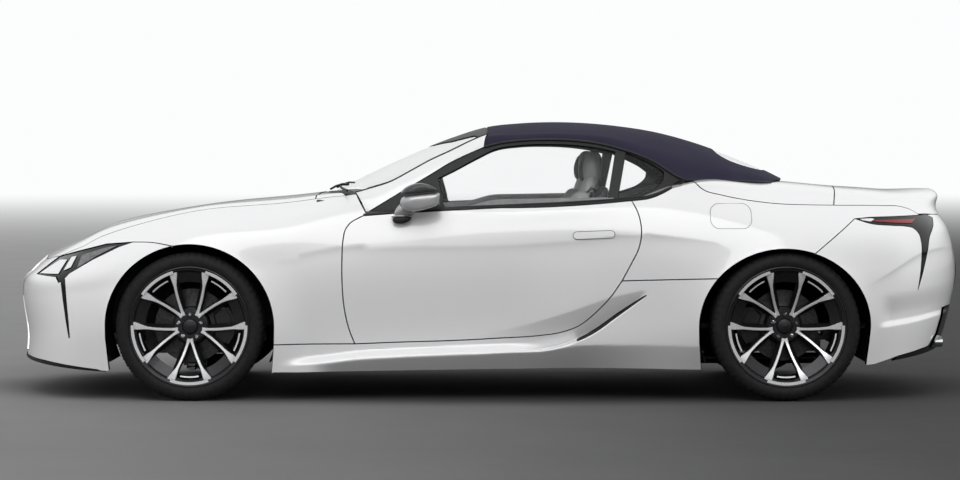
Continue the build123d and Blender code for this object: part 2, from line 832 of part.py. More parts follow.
pipe_radius = 28.0
pipe_z = floor_z - pipe_radius - fit_gap
with BuildPart() as pipe:
    with BuildSketch(Plane.YZ.offset(front_x + 500)):
        with Locations((0, pipe_z)):
            Circle(pipe_radius)
    extrude(amount=tail_x - 480 - front_x - 500)
tips = []
for side in (1, -1):
    with BuildPart() as tip:
        with BuildSketch(Plane.YZ.offset(tail_x - 320)):
            with Locations((side * tip_y, tip_z)):
                RectangleRounded(130, 70, 30)
        extrude(amount=285)
    tips.append(tip.part)
muffler = block(tail_x - 500, tail_x - 300, -560, 560, 165, boot_floor_z - 0.3)
tail_pipe_link = block(tail_x - 520, tail_x - 480, -30, 30, pipe_z - 20, 200)
exhaust = joined(pipe.part, muffler, tail_pipe_link, *tips)

# ---------------------------------------------------------------- mirrors
mirror_foot = (
    (cowl_x + 225, 880),
    (cowl_x + 235, 935),
    (cowl_x + 320, 950),
    (cowl_x + 320, 925),
    (cowl_x + 290, 880),
)
mirror_housing = (
    (cowl_x + 265, 940),
    (cowl_x + 250, 985),
    (cowl_x + 290, 1030),
    (cowl_x + 400, 1048),
    (cowl_x + 455, 1030),
    (cowl_x + 455, 920),
    (cowl_x + 360, 905),
)
mirror_left = joined(
    cut(side_prism(mirror_foot, -925, -835), body_raised),
    side_prism(mirror_housing, -1010, -868),
)

# ---------------------------------------------------------------- export
for piece, name in (
    (chassis, "floor_pan"),
    (front_bumper, "front_bumper"),
    (grille, "front_grille"),
    (front_fenders, "front_fenders"),
    (rockers, "rocker_panels"),
    (rear_wings, "rear_wings"),
    (rear_bumper, "rear_bumper"),
    (hood, "hood"),
    (cover, "soft_top_cover"),
    (boot_lid, "boot_lid"),
    (windscreen_frame, "windscreen_frame"),
    (windscreen, "windscreen"),
    (soft_top, "soft_top"),
    (rear_window, "rear_window"),
    (quarter_glass, "quarter_glass"),
    (headlamps, "headlamps"),
    (tail_lamps, "tail_lamps"),
    (dashboard, "dashboard"),
    (console, "console"),
    (seats, "seats"),
    (steering_column.part, "steering_column"),
    (steering_wheel.part, "steering_wheel"),
    (engine, "engine"),
    (front_subframe, "front_subframe"),
    (steering_rack, "steering_rack"),
    (rear_subframe, "rear_subframe"),
    (exhaust, "exhaust"),
    (joined(corner["rear", "caliper"], mirrored(corner["rear", "caliper"])), "rear_calipers"),
):
    export(piece, name)
for piece, name in (
    (door_left, "door"),
    (door_glass_left, "door_glass"),
    (mirror_left, "mirror"),
    (knuckle_left, "knuckle"),
    (corner["front", "caliper"], "front_caliper"),
    (corner["front", "tyre"], "front_tyre"),
    (corner["front", "wheel"], "front_wheel"),
    (corner["front", "disc"], "front_brake_disc"),
    (corner["rear", "tyre"], "rear_tyre"),
    (corner["rear", "wheel"], "rear_wheel"),
    (corner["rear", "disc"], "rear_brake_disc"),
):
    export(piece, f"{name}_left")
    export(mirrored(piece), f"{name}_right")
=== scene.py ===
"""Looks of the roadster convertible: body skin, roof, glass, lamps, wheels and cabin around the CAD frame."""
import math

import bmesh
import bpy
import numpy as np
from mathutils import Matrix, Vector
from mathutils.geometry import delaunay_2d_cdt


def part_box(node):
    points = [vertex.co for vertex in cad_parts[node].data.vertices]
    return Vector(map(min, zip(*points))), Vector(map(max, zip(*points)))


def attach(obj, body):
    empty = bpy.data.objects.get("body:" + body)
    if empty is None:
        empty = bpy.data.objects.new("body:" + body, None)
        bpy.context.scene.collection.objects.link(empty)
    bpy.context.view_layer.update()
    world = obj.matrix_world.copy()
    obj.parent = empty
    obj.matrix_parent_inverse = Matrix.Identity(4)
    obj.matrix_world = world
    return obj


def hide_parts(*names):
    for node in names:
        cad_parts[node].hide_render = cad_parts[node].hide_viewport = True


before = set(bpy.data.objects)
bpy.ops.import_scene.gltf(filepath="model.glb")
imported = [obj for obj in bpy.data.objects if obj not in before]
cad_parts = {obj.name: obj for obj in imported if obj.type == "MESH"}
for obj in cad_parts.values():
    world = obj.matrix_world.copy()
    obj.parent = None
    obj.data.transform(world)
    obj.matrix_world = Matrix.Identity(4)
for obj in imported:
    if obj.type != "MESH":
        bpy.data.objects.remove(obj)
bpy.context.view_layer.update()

# ---------------------------------------------------------------- driving dimensions, in metres
wheelbase = 2.870
front_x = -1.448
rear_x = front_x + wheelbase
wheel_z = 0.357
panel_gap = 0.0030
hem = 0.0014
outline_step = 0.012
side_names = {-1: "left", 1: "right"}

# Wheel arches: middle, half length and height above the axle.
ARCHES = {"front": (-1.446, 0.405, 0.396), "rear": (1.416, 0.412, 0.375)}

# ---------------------------------------------------------------- materials
MATERIALS = {}


def new_material(name):
    """A material's node tree and its main shader."""
    material = bpy.data.materials.new(name)
    material.use_nodes = True
    MATERIALS[name] = material
    return material.node_tree, material.node_tree.nodes["Principled BSDF"]


def feed(tree, node, inputs):
    """Set a node's inputs to values, or link them to other nodes' outputs."""
    for socket, value in inputs.items():
        if isinstance(value, bpy.types.NodeSocket):
            tree.links.new(value, node.inputs[socket])
        else:
            node.inputs[socket].default_value = value


def add_node(tree, kind, inputs, output=0, **settings):
    """Add a shader node with its settings and inputs, and return one of its outputs."""
    node = tree.nodes.new("ShaderNode" + kind)
    for name, value in settings.items():
        setattr(node, name, value)
    feed(tree, node, inputs)
    return node.outputs[output]


def multiply(tree, first, second):
    return add_node(tree, "Math", {0: first, 1: second}, operation="MULTIPLY")


def object_place(tree):
    return add_node(tree, "TexCoord", {}, "Object")


def noise(tree, scale, detail=4.0, rough=0.55):
    """A noise texture in object coordinates."""
    return add_node(tree, "TexNoise", {"Scale": scale, "Detail": detail, "Roughness": rough,
                                       "Vector": object_place(tree)}, "Fac")


def ramp(tree, value, stops):
    """A colour ramp with (position, colour) stops."""
    node = tree.nodes.new("ShaderNodeValToRGB")
    elements = node.color_ramp.elements
    for element, (place, colour) in ((elements[0], stops[0]), (elements[1], stops[-1])):
        element.position, element.color = place, (*colour, 1)
    for place, colour in stops[1:-1]:
        elements.new(place).color = (*colour, 1)
    tree.links.new(value, node.inputs["Fac"])
    return node.outputs["Color"]


def span(tree, value, low, high, start=0.0, end=1.0, curve_type="LINEAR"):
    """Map a value between start and end to low and high."""
    return add_node(tree, "MapRange", {"Value": value, "From Min": start, "From Max": end, "To Min": low,
                                       "To Max": high}, "Result", interpolation_type=curve_type)


def bump(tree, bsdf, height, strength, distance):
    feed(tree, bsdf, {"Normal": add_node(tree, "Bump", {"Strength": strength, "Distance": distance,
                                                        "Height": height}, "Normal")})


def surface_material(name, dark, light, scale, rough, metallic=0.0, coat=0.0, specular=0.5, relief=None):
    """A finish whose colour and roughness drift with noise; relief is a bump's (scale, strength, distance)."""
    tree, bsdf = new_material(name)
    feed(tree, bsdf, {
        "Base Color": ramp(tree, noise(tree, scale), ((0.3, dark), (0.7, light))),
        "Roughness": span(tree, noise(tree, scale * 2.3), *rough),
        "Metallic": metallic, "Coat Weight": coat, "Specular IOR Level": specular})
    if relief:
        relief_scale, strength, distance = relief
        bump(tree, bsdf, noise(tree, relief_scale, 6.0), strength, distance)


def glass_material(name, tint, alpha):
    """Thin clear glass; its pale base colour, seen through the low alpha, is a painted reflection."""
    tree, bsdf = new_material(name)
    feed(tree, bsdf, {
        "Roughness": span(tree, noise(tree, 3.0), 0.012, 0.030),
        "Base Color": ramp(tree, noise(tree, 1.2), ((0.2, tint), (0.8, tuple(c * 0.9 for c in tint)))),
        "Alpha": alpha, "Specular IOR Level": 1.0, "Coat Weight": 1.0, "Coat Roughness": 0.02})


# Finish: dark and light colour, noise scale, roughness range, metallic, coat, specular, and the relief's noise
# scale, strength and distance.
FINISHES = {
    "white_paint": ((0.79, 0.79, 0.795), (0.84, 0.84, 0.845), 900, (0.22, 0.30), 0, 1, 0.5, (140, 0.02, 0.0002)),
    # The mirror shell and arm are white paint made grey here, a painted shade; the blank plate shares this grey.
    "shell_painted_shade_and_plate_grey": ((0.34, 0.34, 0.345), (0.42, 0.42, 0.425), 500, (0.24, 0.34), 0.35, 0.8, 0.5, (140, 0.02, 2e-4)),
    "mirror_dark": ((0.035, 0.035, 0.037), (0.05, 0.05, 0.052), 60, (0.30, 0.42), 0, 0.2, 0.3, (400, 0.05, 0.0002)),
    "lamp_chrome": ((0.13, 0.13, 0.135), (0.24, 0.24, 0.245), 60, (0.16, 0.28), 0.9),
    "black_gloss": ((0.006, 0.006, 0.007), (0.012, 0.012, 0.013), 30, (0.12, 0.24), 0, 0.12, 0.25),
    "black_trim": ((0.006, 0.006, 0.0065), (0.013, 0.013, 0.014), 60, (0.42, 0.60), 0, 0, 0.3, (1500, 0.12, 0.0002)),
    "liner": ((0.006, 0.006, 0.006), (0.014, 0.014, 0.014), 25, (0.75, 0.95), 0, 0, 0.2, (300, 0.4, 0.001)),
    "underbody": ((0.02, 0.02, 0.021), (0.05, 0.05, 0.05), 14, (0.55, 0.85), 0, 0, 0.5, (90, 0.3, 0.001)),
    "tyre_rubber": ((0.006, 0.006, 0.0065), (0.013, 0.013, 0.0135), 45, (0.62, 0.82), 0, 0, 0.25, (800, 0.15, 4e-4)),
    "dark_alloy": ((0.016, 0.016, 0.018), (0.030, 0.030, 0.032), 120, (0.34, 0.48), 0.7, 0.25),
    "machined_alloy": ((0.74, 0.74, 0.75), (0.88, 0.88, 0.885), 260, (0.22, 0.34), 0.45, 0.3, 0.5, (900, 0.04, 1e-4)),
    "brake_steel": ((0.045, 0.045, 0.047), (0.09, 0.09, 0.09), 70, (0.25, 0.45), 1, 0, 0.5, (500, 0.15, 0.0002)),
    "cast_metal": ((0.10, 0.10, 0.105), (0.20, 0.20, 0.205), 40, (0.45, 0.65), 0.8, 0, 0.5, (350, 0.35, 0.0006)),
    "caliper_paint": ((0.012, 0.012, 0.014), (0.02, 0.02, 0.022), 60, (0.25, 0.40), 0.2, 0.4, 0.5, (300, 0.2, 3e-4)),
    "chrome": ((0.80, 0.80, 0.81), (0.90, 0.90, 0.91), 40, (0.03, 0.09), 1),
    "interior_dark": ((0.022, 0.022, 0.024), (0.038, 0.038, 0.040), 50, (0.55, 0.72), 0, 0, 0.5, (1200, 0.25, 3e-4)),
    "interior_grey": ((0.20, 0.20, 0.205), (0.27, 0.27, 0.275), 35, (0.55, 0.72), 0, 0, 0.5, (900, 0.25, 0.0003)),
}


def make_materials():
    for name, values in FINISHES.items():
        surface_material(name, *values)
    # The pale grey base colours of both glasses are a painted reflection of the bright surroundings.
    glass_material("clear_glass", (0.35, 0.37, 0.37), 0.06)
    glass_material("screen_glass", (0.60, 0.61, 0.61), 0.16)
    tree, bsdf = new_material("red_lens")
    feed(tree, bsdf, {
        "Base Color": ramp(tree, noise(tree, 80.0), ((0.2, (0.16, 0.002, 0.004)), (0.8, (0.27, 0.005, 0.007)))),
        "Roughness": span(tree, noise(tree, 50.0), 0.06, 0.16), "Coat Weight": 0.5, "Specular IOR Level": 0.3})
    fabric_material()
    leather_material()


def fabric_material():
    """Dark navy roof cloth: a fine square weave over slow colour drift."""
    tree, bsdf = new_material("roof_fabric")
    across, along = (
        add_node(tree, "TexWave", {"Scale": 420.0, "Distortion": 0.4, "Vector": object_place(tree)}, "Fac",
                 wave_type="BANDS", bands_direction=direction) for direction in "XY")
    drift = ramp(tree, noise(tree, 6.0, 8.0), ((0.3, (0.026, 0.024, 0.043)), (0.7, (0.035, 0.032, 0.056))))
    fleck = ramp(tree, noise(tree, 700.0), ((0.35, (0.75, 0.75, 0.78)), (0.65, (1.0, 1.0, 1.0))))
    tint = add_node(tree, "Mix", {"Factor": 1.0, "A": drift, "B": fleck}, "Result", data_type="RGBA",
                    blend_type="MULTIPLY")
    feed(tree, bsdf, {
        "Base Color": tint, "Roughness": span(tree, noise(tree, 12.0), 0.78, 0.92),
        "Sheen Weight": 0.02, "Sheen Roughness": 0.5, "Specular IOR Level": 0.08})
    bump(tree, bsdf, multiply(tree, across, along), 0.5, 0.0004)


def leather_material():
    """Grey seat leather: pores from a cell texture over a slow tone drift."""
    tree, bsdf = new_material("seat_leather")
    pores = add_node(tree, "TexVoronoi", {"Scale": 520.0, "Vector": object_place(tree)}, "Distance")
    feed(tree, bsdf, {
        "Base Color": ramp(tree, noise(tree, 9.0), ((0.3, (0.27, 0.27, 0.272)), (0.7, (0.35, 0.35, 0.352)))),
        "Roughness": span(tree, noise(tree, 30.0), 0.42, 0.58)})
    bump(tree, bsdf, pores, 0.3, 0.0005)


TRIM = {"material": "black_trim", "body": "car_body", "slot": "black_trim"}
PLASTIC = {"material": "interior_dark", "body": "car_body", "slot": "interior_plastic"}


# ---------------------------------------------------------------- building blocks
def add_piece(name, verts, faces, material, body="car_body", slot=None, smooth=True, nodes=()):
    """Make a mesh piece that rides on a body."""
    mesh = bpy.data.meshes.new(name)
    mesh.from_pydata([tuple(float(c) for c in v) for v in verts], [], [tuple(int(i) for i in f) for f in faces])
    mesh.validate()
    mesh.materials.append(MATERIALS[material])
    if smooth:
        mesh.polygons.foreach_set("use_smooth", [True] * len(mesh.polygons))
    obj = bpy.data.objects.new(name, mesh)
    bpy.context.scene.collection.objects.link(obj)
    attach(obj, body)
    if nodes:
        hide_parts(*nodes)
    return obj


def hermite(knots, values, at, first=1.0, last=1.0, own=False):
    """Cubic interpolation along the first axis of values, with slopes from the neighbouring chords.

    first and last scale the slopes at the two ends. With own, each place has its own column of values.
    """
    knots, values, at = (np.asarray(item, float) for item in (knots, values, at))
    step = np.diff(knots)
    wide = step.reshape(-1, *[1] * (values.ndim - 1))
    chord = np.diff(values, axis=0) / wide
    slopes = np.empty_like(values)
    slopes[1:-1] = (chord[:-1] * wide[1:] + chord[1:] * wide[:-1]) / (wide[:-1] + wide[1:])
    slopes[0], slopes[-1] = chord[0] * first, chord[-1] * last
    at = np.clip(at, knots[0], knots[-1])
    cell = np.clip(np.searchsorted(knots, at, side="right") - 1, 0, len(knots) - 2)
    start, end = ((cell, np.arange(len(at))), (cell + 1, np.arange(len(at)))) if own else (cell, cell + 1)
    shape = (-1, *[1] * (values[start].ndim - 1))
    t, width = ((at - knots[cell]) / step[cell]).reshape(shape), step[cell].reshape(shape)
    return ((2 * t**3 - 3 * t**2 + 1) * values[start] + (t**3 - 2 * t**2 + t) * width * slopes[start]
            + (-2 * t**3 + 3 * t**2) * values[end] + (t**3 - t**2) * width * slopes[end])


def smoothstep(low, high, value):
    t = np.clip((np.asarray(value, float) - low) / (high - low), 0, 1)
    return t * t * (3 - 2 * t)


def band(value, rise_from, rise_to, fall_from, fall_to):
    """1 between two soft edges, 0 outside them."""
    return smoothstep(rise_from, rise_to, value) * (1 - smoothstep(fall_from, fall_to, value))


def soft_positive(value, rounding):
    """The value where it is positive, near 0 where it is negative, with a rounded corner."""
    return (np.sqrt(value**2 + rounding**2) + value) / 2


def unit(vectors):
    return vectors / np.maximum(np.linalg.norm(vectors, axis=1), 1e-9)[:, None]


def line_height(points, x):
    """Height of a smooth side-view line at x, held level past its ends."""
    points = np.asarray(points)
    return hermite(points[:, 0], points[:, 1:], x)[:, 0]


# ---------------------------------------------------------------- the body's master surface
# Columns: x, then (half width, height) of the sill edge, lower side, widest line, upper side, panel edge
# and roll of the top, and the height at the centre line.
SECTIONS = (
    (-1.900, 0.860, 0.138, 0.905, 0.330, 0.915, 0.520, 0.893, 0.640, 0.700, 0.785, 0.400, 0.828, 0.840),
    (-1.448, 0.900, 0.140, 0.940, 0.350, 0.950, 0.600, 0.915, 0.790, 0.700, 0.908, 0.400, 0.925, 0.930),
    (-1.000, 0.890, 0.131, 0.925, 0.330, 0.930, 0.640, 0.895, 0.830, 0.700, 0.950, 0.400, 0.970, 0.977),
    (-0.700, 0.880, 0.133, 0.905, 0.300, 0.918, 0.690, 0.870, 0.880, 0.750, 0.985, 0.500, 1.000, 1.006),
    (0.000, 0.870, 0.142, 0.890, 0.300, 0.908, 0.720, 0.893, 0.850, 0.854, 0.928, 0.700, 0.935, 0.940),
    (0.700, 0.880, 0.144, 0.915, 0.330, 0.930, 0.740, 0.910, 0.870, 0.854, 0.964, 0.700, 0.975, 0.980),
    (1.000, 0.885, 0.141, 0.935, 0.350, 0.948, 0.700, 0.915, 0.860, 0.812, 1.005, 0.715, 1.055, 1.062),
    (1.422, 0.890, 0.150, 0.945, 0.350, 0.960, 0.640, 0.930, 0.800, 0.780, 0.948, 0.560, 1.035, 1.053),
    (1.800, 0.880, 0.166, 0.925, 0.380, 0.940, 0.640, 0.905, 0.800, 0.740, 0.938, 0.520, 1.005, 1.022),
)
ROWS = 7
ROW_KNOTS = (0.0, 0.20, 0.47, 0.68, 0.93, 1.23, 1.63)
# Centre line of the nose and of the tail: (x, z) of the same rows.
NOSE_LINE = ((-2.358, 0.172), (-2.346, 0.285), (-2.372, 0.462), (-2.368, 0.545), (-2.335, 0.590),
             (-2.280, 0.652), (-2.234, 0.686))
TAIL_LINE = ((2.275, 0.225), (2.336, 0.410), (2.367, 0.630), (2.335, 0.800), (2.280, 0.905),
             (2.294, 0.978), (2.250, 1.012))
nose_power = 2.0
tail_power = 2.1
nose_span = 0.95
tail_span = 1.00


def corner_net(side_row, centre_row, power, angle):
    """A point on a row's rounded plan corner; angle runs from 0 on the centre line to 1 on the side."""
    x_side, y_side, z_side = side_row
    x_mid, z_mid = centre_row
    turn = angle * math.pi / 2
    reach = math.cos(turn) ** (2 / power)
    wide = math.sin(turn) ** (2 / power)
    return (x_side + (x_mid - x_side) * reach, y_side * wide, z_mid + (z_side - z_mid) * (1 - reach))


def section_rows(section):
    x, *pairs, top = section
    rows = [(x, pairs[2 * i], pairs[2 * i + 1]) for i in range(ROWS - 1)]
    return [*rows, (x, 0.0, top)]


def control_net():
    """Knots along the car and the (column, row, xyz) net."""
    angles = (0.0, 0.15, 0.3, 0.45, 0.6, 0.8)
    first, last = section_rows(SECTIONS[0]), section_rows(SECTIONS[-1])
    knots, net = [], []
    for angle in angles:
        knots.append(SECTIONS[0][0] - nose_span * (1 - angle))
        net.append([corner_net(first[r], NOSE_LINE[r], nose_power, angle) for r in range(ROWS)])
    for section in SECTIONS:
        knots.append(section[0])
        net.append(section_rows(section))
    for angle in reversed(angles):
        knots.append(SECTIONS[-1][0] + tail_span * (1 - angle))
        net.append([corner_net(last[r], TAIL_LINE[r], tail_power, angle) for r in range(ROWS)])
    return np.array(knots), np.array(net)


NET_KNOTS, NET = control_net()
U_START, U_END = NET_KNOTS[0], NET_KNOTS[-1]
V_END = ROW_KNOTS[-1]
MIRROR = np.array([1.0, -1.0, 1.0])
ACROSS_ONLY = np.array([0.0, 1.0, 0.0])


def body_point(u, v):
    """Points of the body's half surface, with y positive here and mirrored when a piece is made."""
    u, v = np.atleast_1d(u).astype(float), np.atleast_1d(v).astype(float)
    rows = hermite(NET_KNOTS, NET, u, ACROSS_ONLY, ACROSS_ONLY)
    return hermite(ROW_KNOTS, rows.swapaxes(0, 1), v, last=np.array([1.0, 1.0, 0.0]), own=True)


SHOULDER_LINE = ((-1.20, 0.600), (-1.069, 0.640), (-0.915, 0.698), (-0.771, 0.731), (-0.434, 0.741), (0.047, 0.755),
                 (0.335, 0.770), (0.720, 0.799), (1.009, 0.774), (1.201, 0.717), (1.30, 0.66))
SILL_CREST = ((-1.046, 0.150), (-0.900, 0.165), (-0.771, 0.178), (-0.675, 0.190), (-0.435, 0.205), (0.047, 0.227),
              (0.335, 0.251), (0.400, 0.274), (0.507, 0.326), (0.609, 0.400), (0.753, 0.505), (0.841, 0.570),
              (1.00, 0.68))
SCOOP_TOP = ((-0.150, 0.300), (0.070, 0.338), (0.401, 0.434), (0.551, 0.487), (0.748, 0.535))
UNDER_LINE = ((-1.046, 0.150), (-0.771, 0.178), (-0.675, 0.190), (-0.435, 0.205), (0.047, 0.227), (0.335, 0.251),
              (0.42, 0.262), (0.60, 0.266), (1.05, 0.262))
REAR_RIDGE = ((1.800, 0.545), (1.934, 0.625), (2.079, 0.703), (2.210, 0.728), (2.35, 0.735))
REAR_SHELF = ((1.870, 0.345), (2.040, 0.368), (2.186, 0.388), (2.35, 0.400))
# How far the reliefs of the side and tail reach in or out, in metres; ridge and shelf are shares of the width.
flare_depths = (0.010, 0.014)
flare_fade = 0.055
shoulder_depth = 0.011
ledge_depth = 0.042
waist_depth = 0.016
scoop_slope = 0.45
scoop_wall = 0.014
scoop_round = 0.005
under_round = 0.004
ridge_depth = 0.016
shelf_depth = 0.048
lid_dip = 0.009


def fold(below, start, fade):
    """A crease's hollow: it opens within start below its line and fades further down."""
    return (1 - np.exp(-below / start)) * np.exp(-below / fade)


def skin_point(u, v):
    """The finished skin: the master surface with its wheel flares, side crease, scoop and sill crest."""
    x, y, z = body_point(u, v).T
    side = smoothstep(0.60, 0.80, y)
    for (axle, reach, rise), flare in zip(ARCHES.values(), flare_depths):
        away = np.hypot(x - axle, (z - wheel_z) * reach / rise) - reach
        y = y + side * flare * np.exp(-np.maximum(away, 0) / flare_fade) * (1 - smoothstep(0.95, 1.10, z))
    below = np.maximum(line_height(SHOULDER_LINE, x) - z, 0)
    y = y - side * band(x, -1.12, -0.70, 0.80, 1.20) * shoulder_depth * fold(below, 0.030, 0.22)
    crest = z - line_height(SILL_CREST, x)
    rear = smoothstep(0.05, 0.40, x)
    ledge = (1 - rear) * ledge_depth * band(crest, 0.002, 0.048, 0.06, 0.52)
    y = y - side * band(x, -1.03, -0.85, 0.80, 0.98) * ledge
    y = y - side * rear * (1 - smoothstep(0.75, 1.05, x)) * waist_depth * smoothstep(0.08, 0.42, below)
    fall = soft_positive(line_height(SCOOP_TOP, x) - z, scoop_round) - scoop_round * 0.05
    y = y - (side * band(x, -0.15, 0.35, 0.72, 0.76) * scoop_slope * np.maximum(fall, 0)
             * smoothstep(0.0, scoop_wall, crest))
    lean = smoothstep(-0.90, -0.74, x) * (0.80 - 0.42 * smoothstep(0.35, 0.90, x)) * (1 - smoothstep(1.20, 1.30, x))
    y = y - side * lean * soft_positive(line_height(UNDER_LINE, x) - z, under_round)
    below = np.maximum(line_height(REAR_RIDGE, x) - z, 0)
    y = y - smoothstep(1.80, 1.95, x) * np.minimum(y, 0.6) * ridge_depth * fold(below, 0.018, 0.13)
    above = z - line_height(REAR_SHELF, x)
    y = y - smoothstep(1.86, 1.93, x) * np.minimum(y, 0.6) * shelf_depth * band(above, 0.0, 0.035, 0.05, 0.17)
    z = z - lid_dip * np.exp(-((x - 2.03) / 0.13)**2) * smoothstep(0.935, 1.010, z)
    return np.stack([x, y, z], axis=1)


def skin_frame(u, v, h=0.0015):
    """Points with their outward normals."""
    u, v = np.asarray(u, float), np.asarray(v, float)
    u0, u1 = np.clip(u - h, U_START, U_END - 2 * h), np.clip(u + h, U_START + 2 * h, U_END)
    v0, v1 = np.clip(v - h, 0, V_END - 2 * h), np.clip(v + h, 2 * h, V_END)
    du = skin_point(u1, v) - skin_point(u0, v)
    steep = np.linalg.norm(du, axis=1) < 1e-5
    if steep.any():
        inner_u = np.clip(u, U_START + 0.01, U_END - 0.01)
        du[steep] = (skin_point(inner_u + h, v) - skin_point(inner_u - h, v))[steep]
    dv = skin_point(u, v1) - skin_point(u, v0)
    return skin_point(u, v), unit(-np.cross(du, dv))


class Sheet:
    """A parametric surface seen from the side: finds (u, v) for a side-view place (x, z)."""

    def __init__(self, point, frame_of, u_range, v_range, count=(640, 150)):
        self.point, self.frame_of, self.u_range, self.v_range = point, frame_of, u_range, v_range
        us = np.linspace(*u_range, count[0])
        vs = np.linspace(*v_range, count[1])
        grid_u, grid_v = np.meshgrid(us, vs)
        self.grid = np.stack([grid_u.ravel(), grid_v.ravel()], axis=1)
        self.side_view = point(self.grid[:, 0], self.grid[:, 1])[:, (0, 2)]

    def at(self, places, v_high=0.97):
        """(u, v) of side-view places below v_high, by nearest grid point and then Newton steps."""
        places = np.asarray(places, float)
        uv = np.empty_like(places)
        allowed = self.grid[:, 1] <= v_high
        grid, side_view = self.grid[allowed], self.side_view[allowed]
        for i, place in enumerate(places):
            uv[i] = grid[np.argmin(((side_view - place) ** 2).sum(1))]
        h, longest_step = 1e-4, 0.03
        for _ in range(8):
            here = self.point(uv[:, 0], uv[:, 1])[:, (0, 2)]
            du = (self.point(uv[:, 0] + h, uv[:, 1])[:, (0, 2)] - here) / h
            dv = (self.point(uv[:, 0], uv[:, 1] + h)[:, (0, 2)] - here) / h
            miss = places - here
            det = du[:, 0] * dv[:, 1] - du[:, 1] * dv[:, 0]
            good = np.abs(det) > 0.02
            safe = np.where(good, det, 1.0)
            step_u = (miss[:, 0] * dv[:, 1] - miss[:, 1] * dv[:, 0]) / safe
            step_v = (miss[:, 1] * du[:, 0] - miss[:, 0] * du[:, 1]) / safe
            uv[:, 0] += np.where(good, np.clip(step_u, -longest_step, longest_step), 0)
            uv[:, 1] += np.where(good, np.clip(step_v, -longest_step, longest_step), 0)
            uv[:, 0] = np.clip(uv[:, 0], self.u_range[0], self.u_range[1])
            uv[:, 1] = np.clip(uv[:, 1], self.v_range[0], v_high)
        return uv


BODY = Sheet(skin_point, skin_frame, (U_START, U_END), (0.0, V_END))


def resample(points, step):
    """Points along a polyline at about the given spacing, keeping its corners."""
    points = np.asarray(points, float)
    out = []
    for a, b in zip(points[:-1], points[1:]):
        count = max(1, int(np.ceil(np.linalg.norm(b - a) / step)))
        out.extend(a + (b - a) * k / count for k in range(count))
    out.append(points[-1])
    return np.array(out)


def curve(points, step=outline_step):
    """A smooth curve through points, sampled at about the given spacing."""
    points = np.asarray(points, float)
    knots = np.concatenate([[0], np.cumsum(np.linalg.norm(np.diff(points, axis=0), axis=1))])
    count = max(2, int(np.ceil(knots[-1] / step)))
    return hermite(knots, points, np.linspace(0, knots[-1], count + 1))


def arch_curve(axle, start, end):
    """Side view of a wheel arch from start to end, in degrees from +X towards +Z."""
    middle, reach, rise = ARCHES[axle]
    count = max(2, int(abs(math.radians(end - start)) * reach / outline_step))
    turn = np.radians(np.linspace(start, end, count + 1))
    return np.stack([middle + reach * np.cos(turn), wheel_z + rise * np.sin(turn)], axis=1)


def inside(polygon, points):
    """Which points lie in the polygon."""
    x, y = points[:, 0], points[:, 1]
    hit = np.zeros(len(points), bool)
    px, py = polygon[:, 0], polygon[:, 1]
    qx, qy = np.roll(px, -1), np.roll(py, -1)
    for ax, ay, bx, by in zip(px, py, qx, qy):
        if ay == by:
            continue
        crosses = (ay > y) != (by > y)
        hit ^= crosses & (x < (bx - ax) * (y - ay) / (by - ay) + ax)
    return hit


def join_outline(*runs):
    """One closed outline from runs of points, without doubled points, counter-clockwise."""
    points = np.concatenate([np.asarray(r, float) for r in runs])
    keep = [0]
    for i in range(1, len(points)):
        if np.linalg.norm(points[i] - points[keep[-1]]) > 1e-4:
            keep.append(i)
    points = points[keep]
    if np.linalg.norm(points[0] - points[-1]) < 1e-4:
        points = points[:-1]
    area = (points[:, 0] * np.roll(points[:, 1], -1) - np.roll(points[:, 0], -1) * points[:, 1]).sum()
    return points if area > 0 else points[::-1]


def on_centre(uv, sheet):
    """Which outline points lie on the centre plane."""
    return np.abs(sheet.point(uv[:, 0], uv[:, 1])[:, 1]) < 2e-4


def shrink(uv, amount, sheet):
    """Move an outline in along the surface; edges on the centre plane stay there."""
    point, normal = sheet.frame_of(uv[:, 0], uv[:, 1])
    mid = on_centre(uv, sheet)
    ahead = np.roll(point, -1, axis=0) - point
    ahead = unit(ahead - (ahead * normal).sum(1)[:, None] * normal)
    inward_next = np.cross(ahead, normal)
    inward_last = np.roll(inward_next, 1, axis=0)
    free_next = mid & np.roll(mid, -1)
    free_last = mid & np.roll(mid, 1)
    a_next, a_last = np.where(free_next, 0, amount), np.where(free_last, 0, amount)
    cosine = np.clip((inward_next * inward_last).sum(1), -0.7, 1)
    straight = cosine > 0.98
    divide = np.where(straight, 1, 1 - cosine**2)
    k_next = np.where(straight, (a_next + a_last) / 4, (a_next - cosine * a_last) / divide)
    k_last = np.where(straight, (a_next + a_last) / 4, (a_last - cosine * a_next) / divide)
    move = inward_next * k_next[:, None] + inward_last * k_last[:, None]
    move[mid & free_next & free_last] = 0
    h = 1e-3
    u, v = uv[:, 0], uv[:, 1]
    du = (sheet.point(u + h, v) - sheet.point(u - h, v)) / (2 * h)
    dv = (sheet.point(u, v + h) - sheet.point(u, v - h)) / (2 * h)
    a, b, c = (du * du).sum(1), (du * dv).sum(1), (dv * dv).sum(1)
    e, f = (du * move).sum(1), (dv * move).sum(1)
    det = np.maximum(a * c - b * b, 1e-4)
    moved = uv + np.stack([(e * c - f * b) / det, (f * a - e * b) / det], axis=1)
    if amount:
        moved[mid & (np.abs(u - sheet.u_range[0]) < 1e-6), 0] = sheet.u_range[0]
        moved[mid & (np.abs(u - sheet.u_range[1]) < 1e-6), 0] = sheet.u_range[1]
        moved[mid & (np.abs(v - sheet.v_range[1]) < 1e-6), 1] = sheet.v_range[1]
    moved[:, 0] = np.clip(moved[:, 0], *sheet.u_range)
    moved[:, 1] = np.clip(moved[:, 1], *sheet.v_range)
    return moved


def runs_of(flags):
    """Start and end of each run of two or more true flags."""
    edges = np.flatnonzero(np.diff(np.concatenate([[0], flags.astype(int), [0]])))
    return [(a, b) for a, b in zip(edges[::2], edges[1::2]) if b - a > 1]


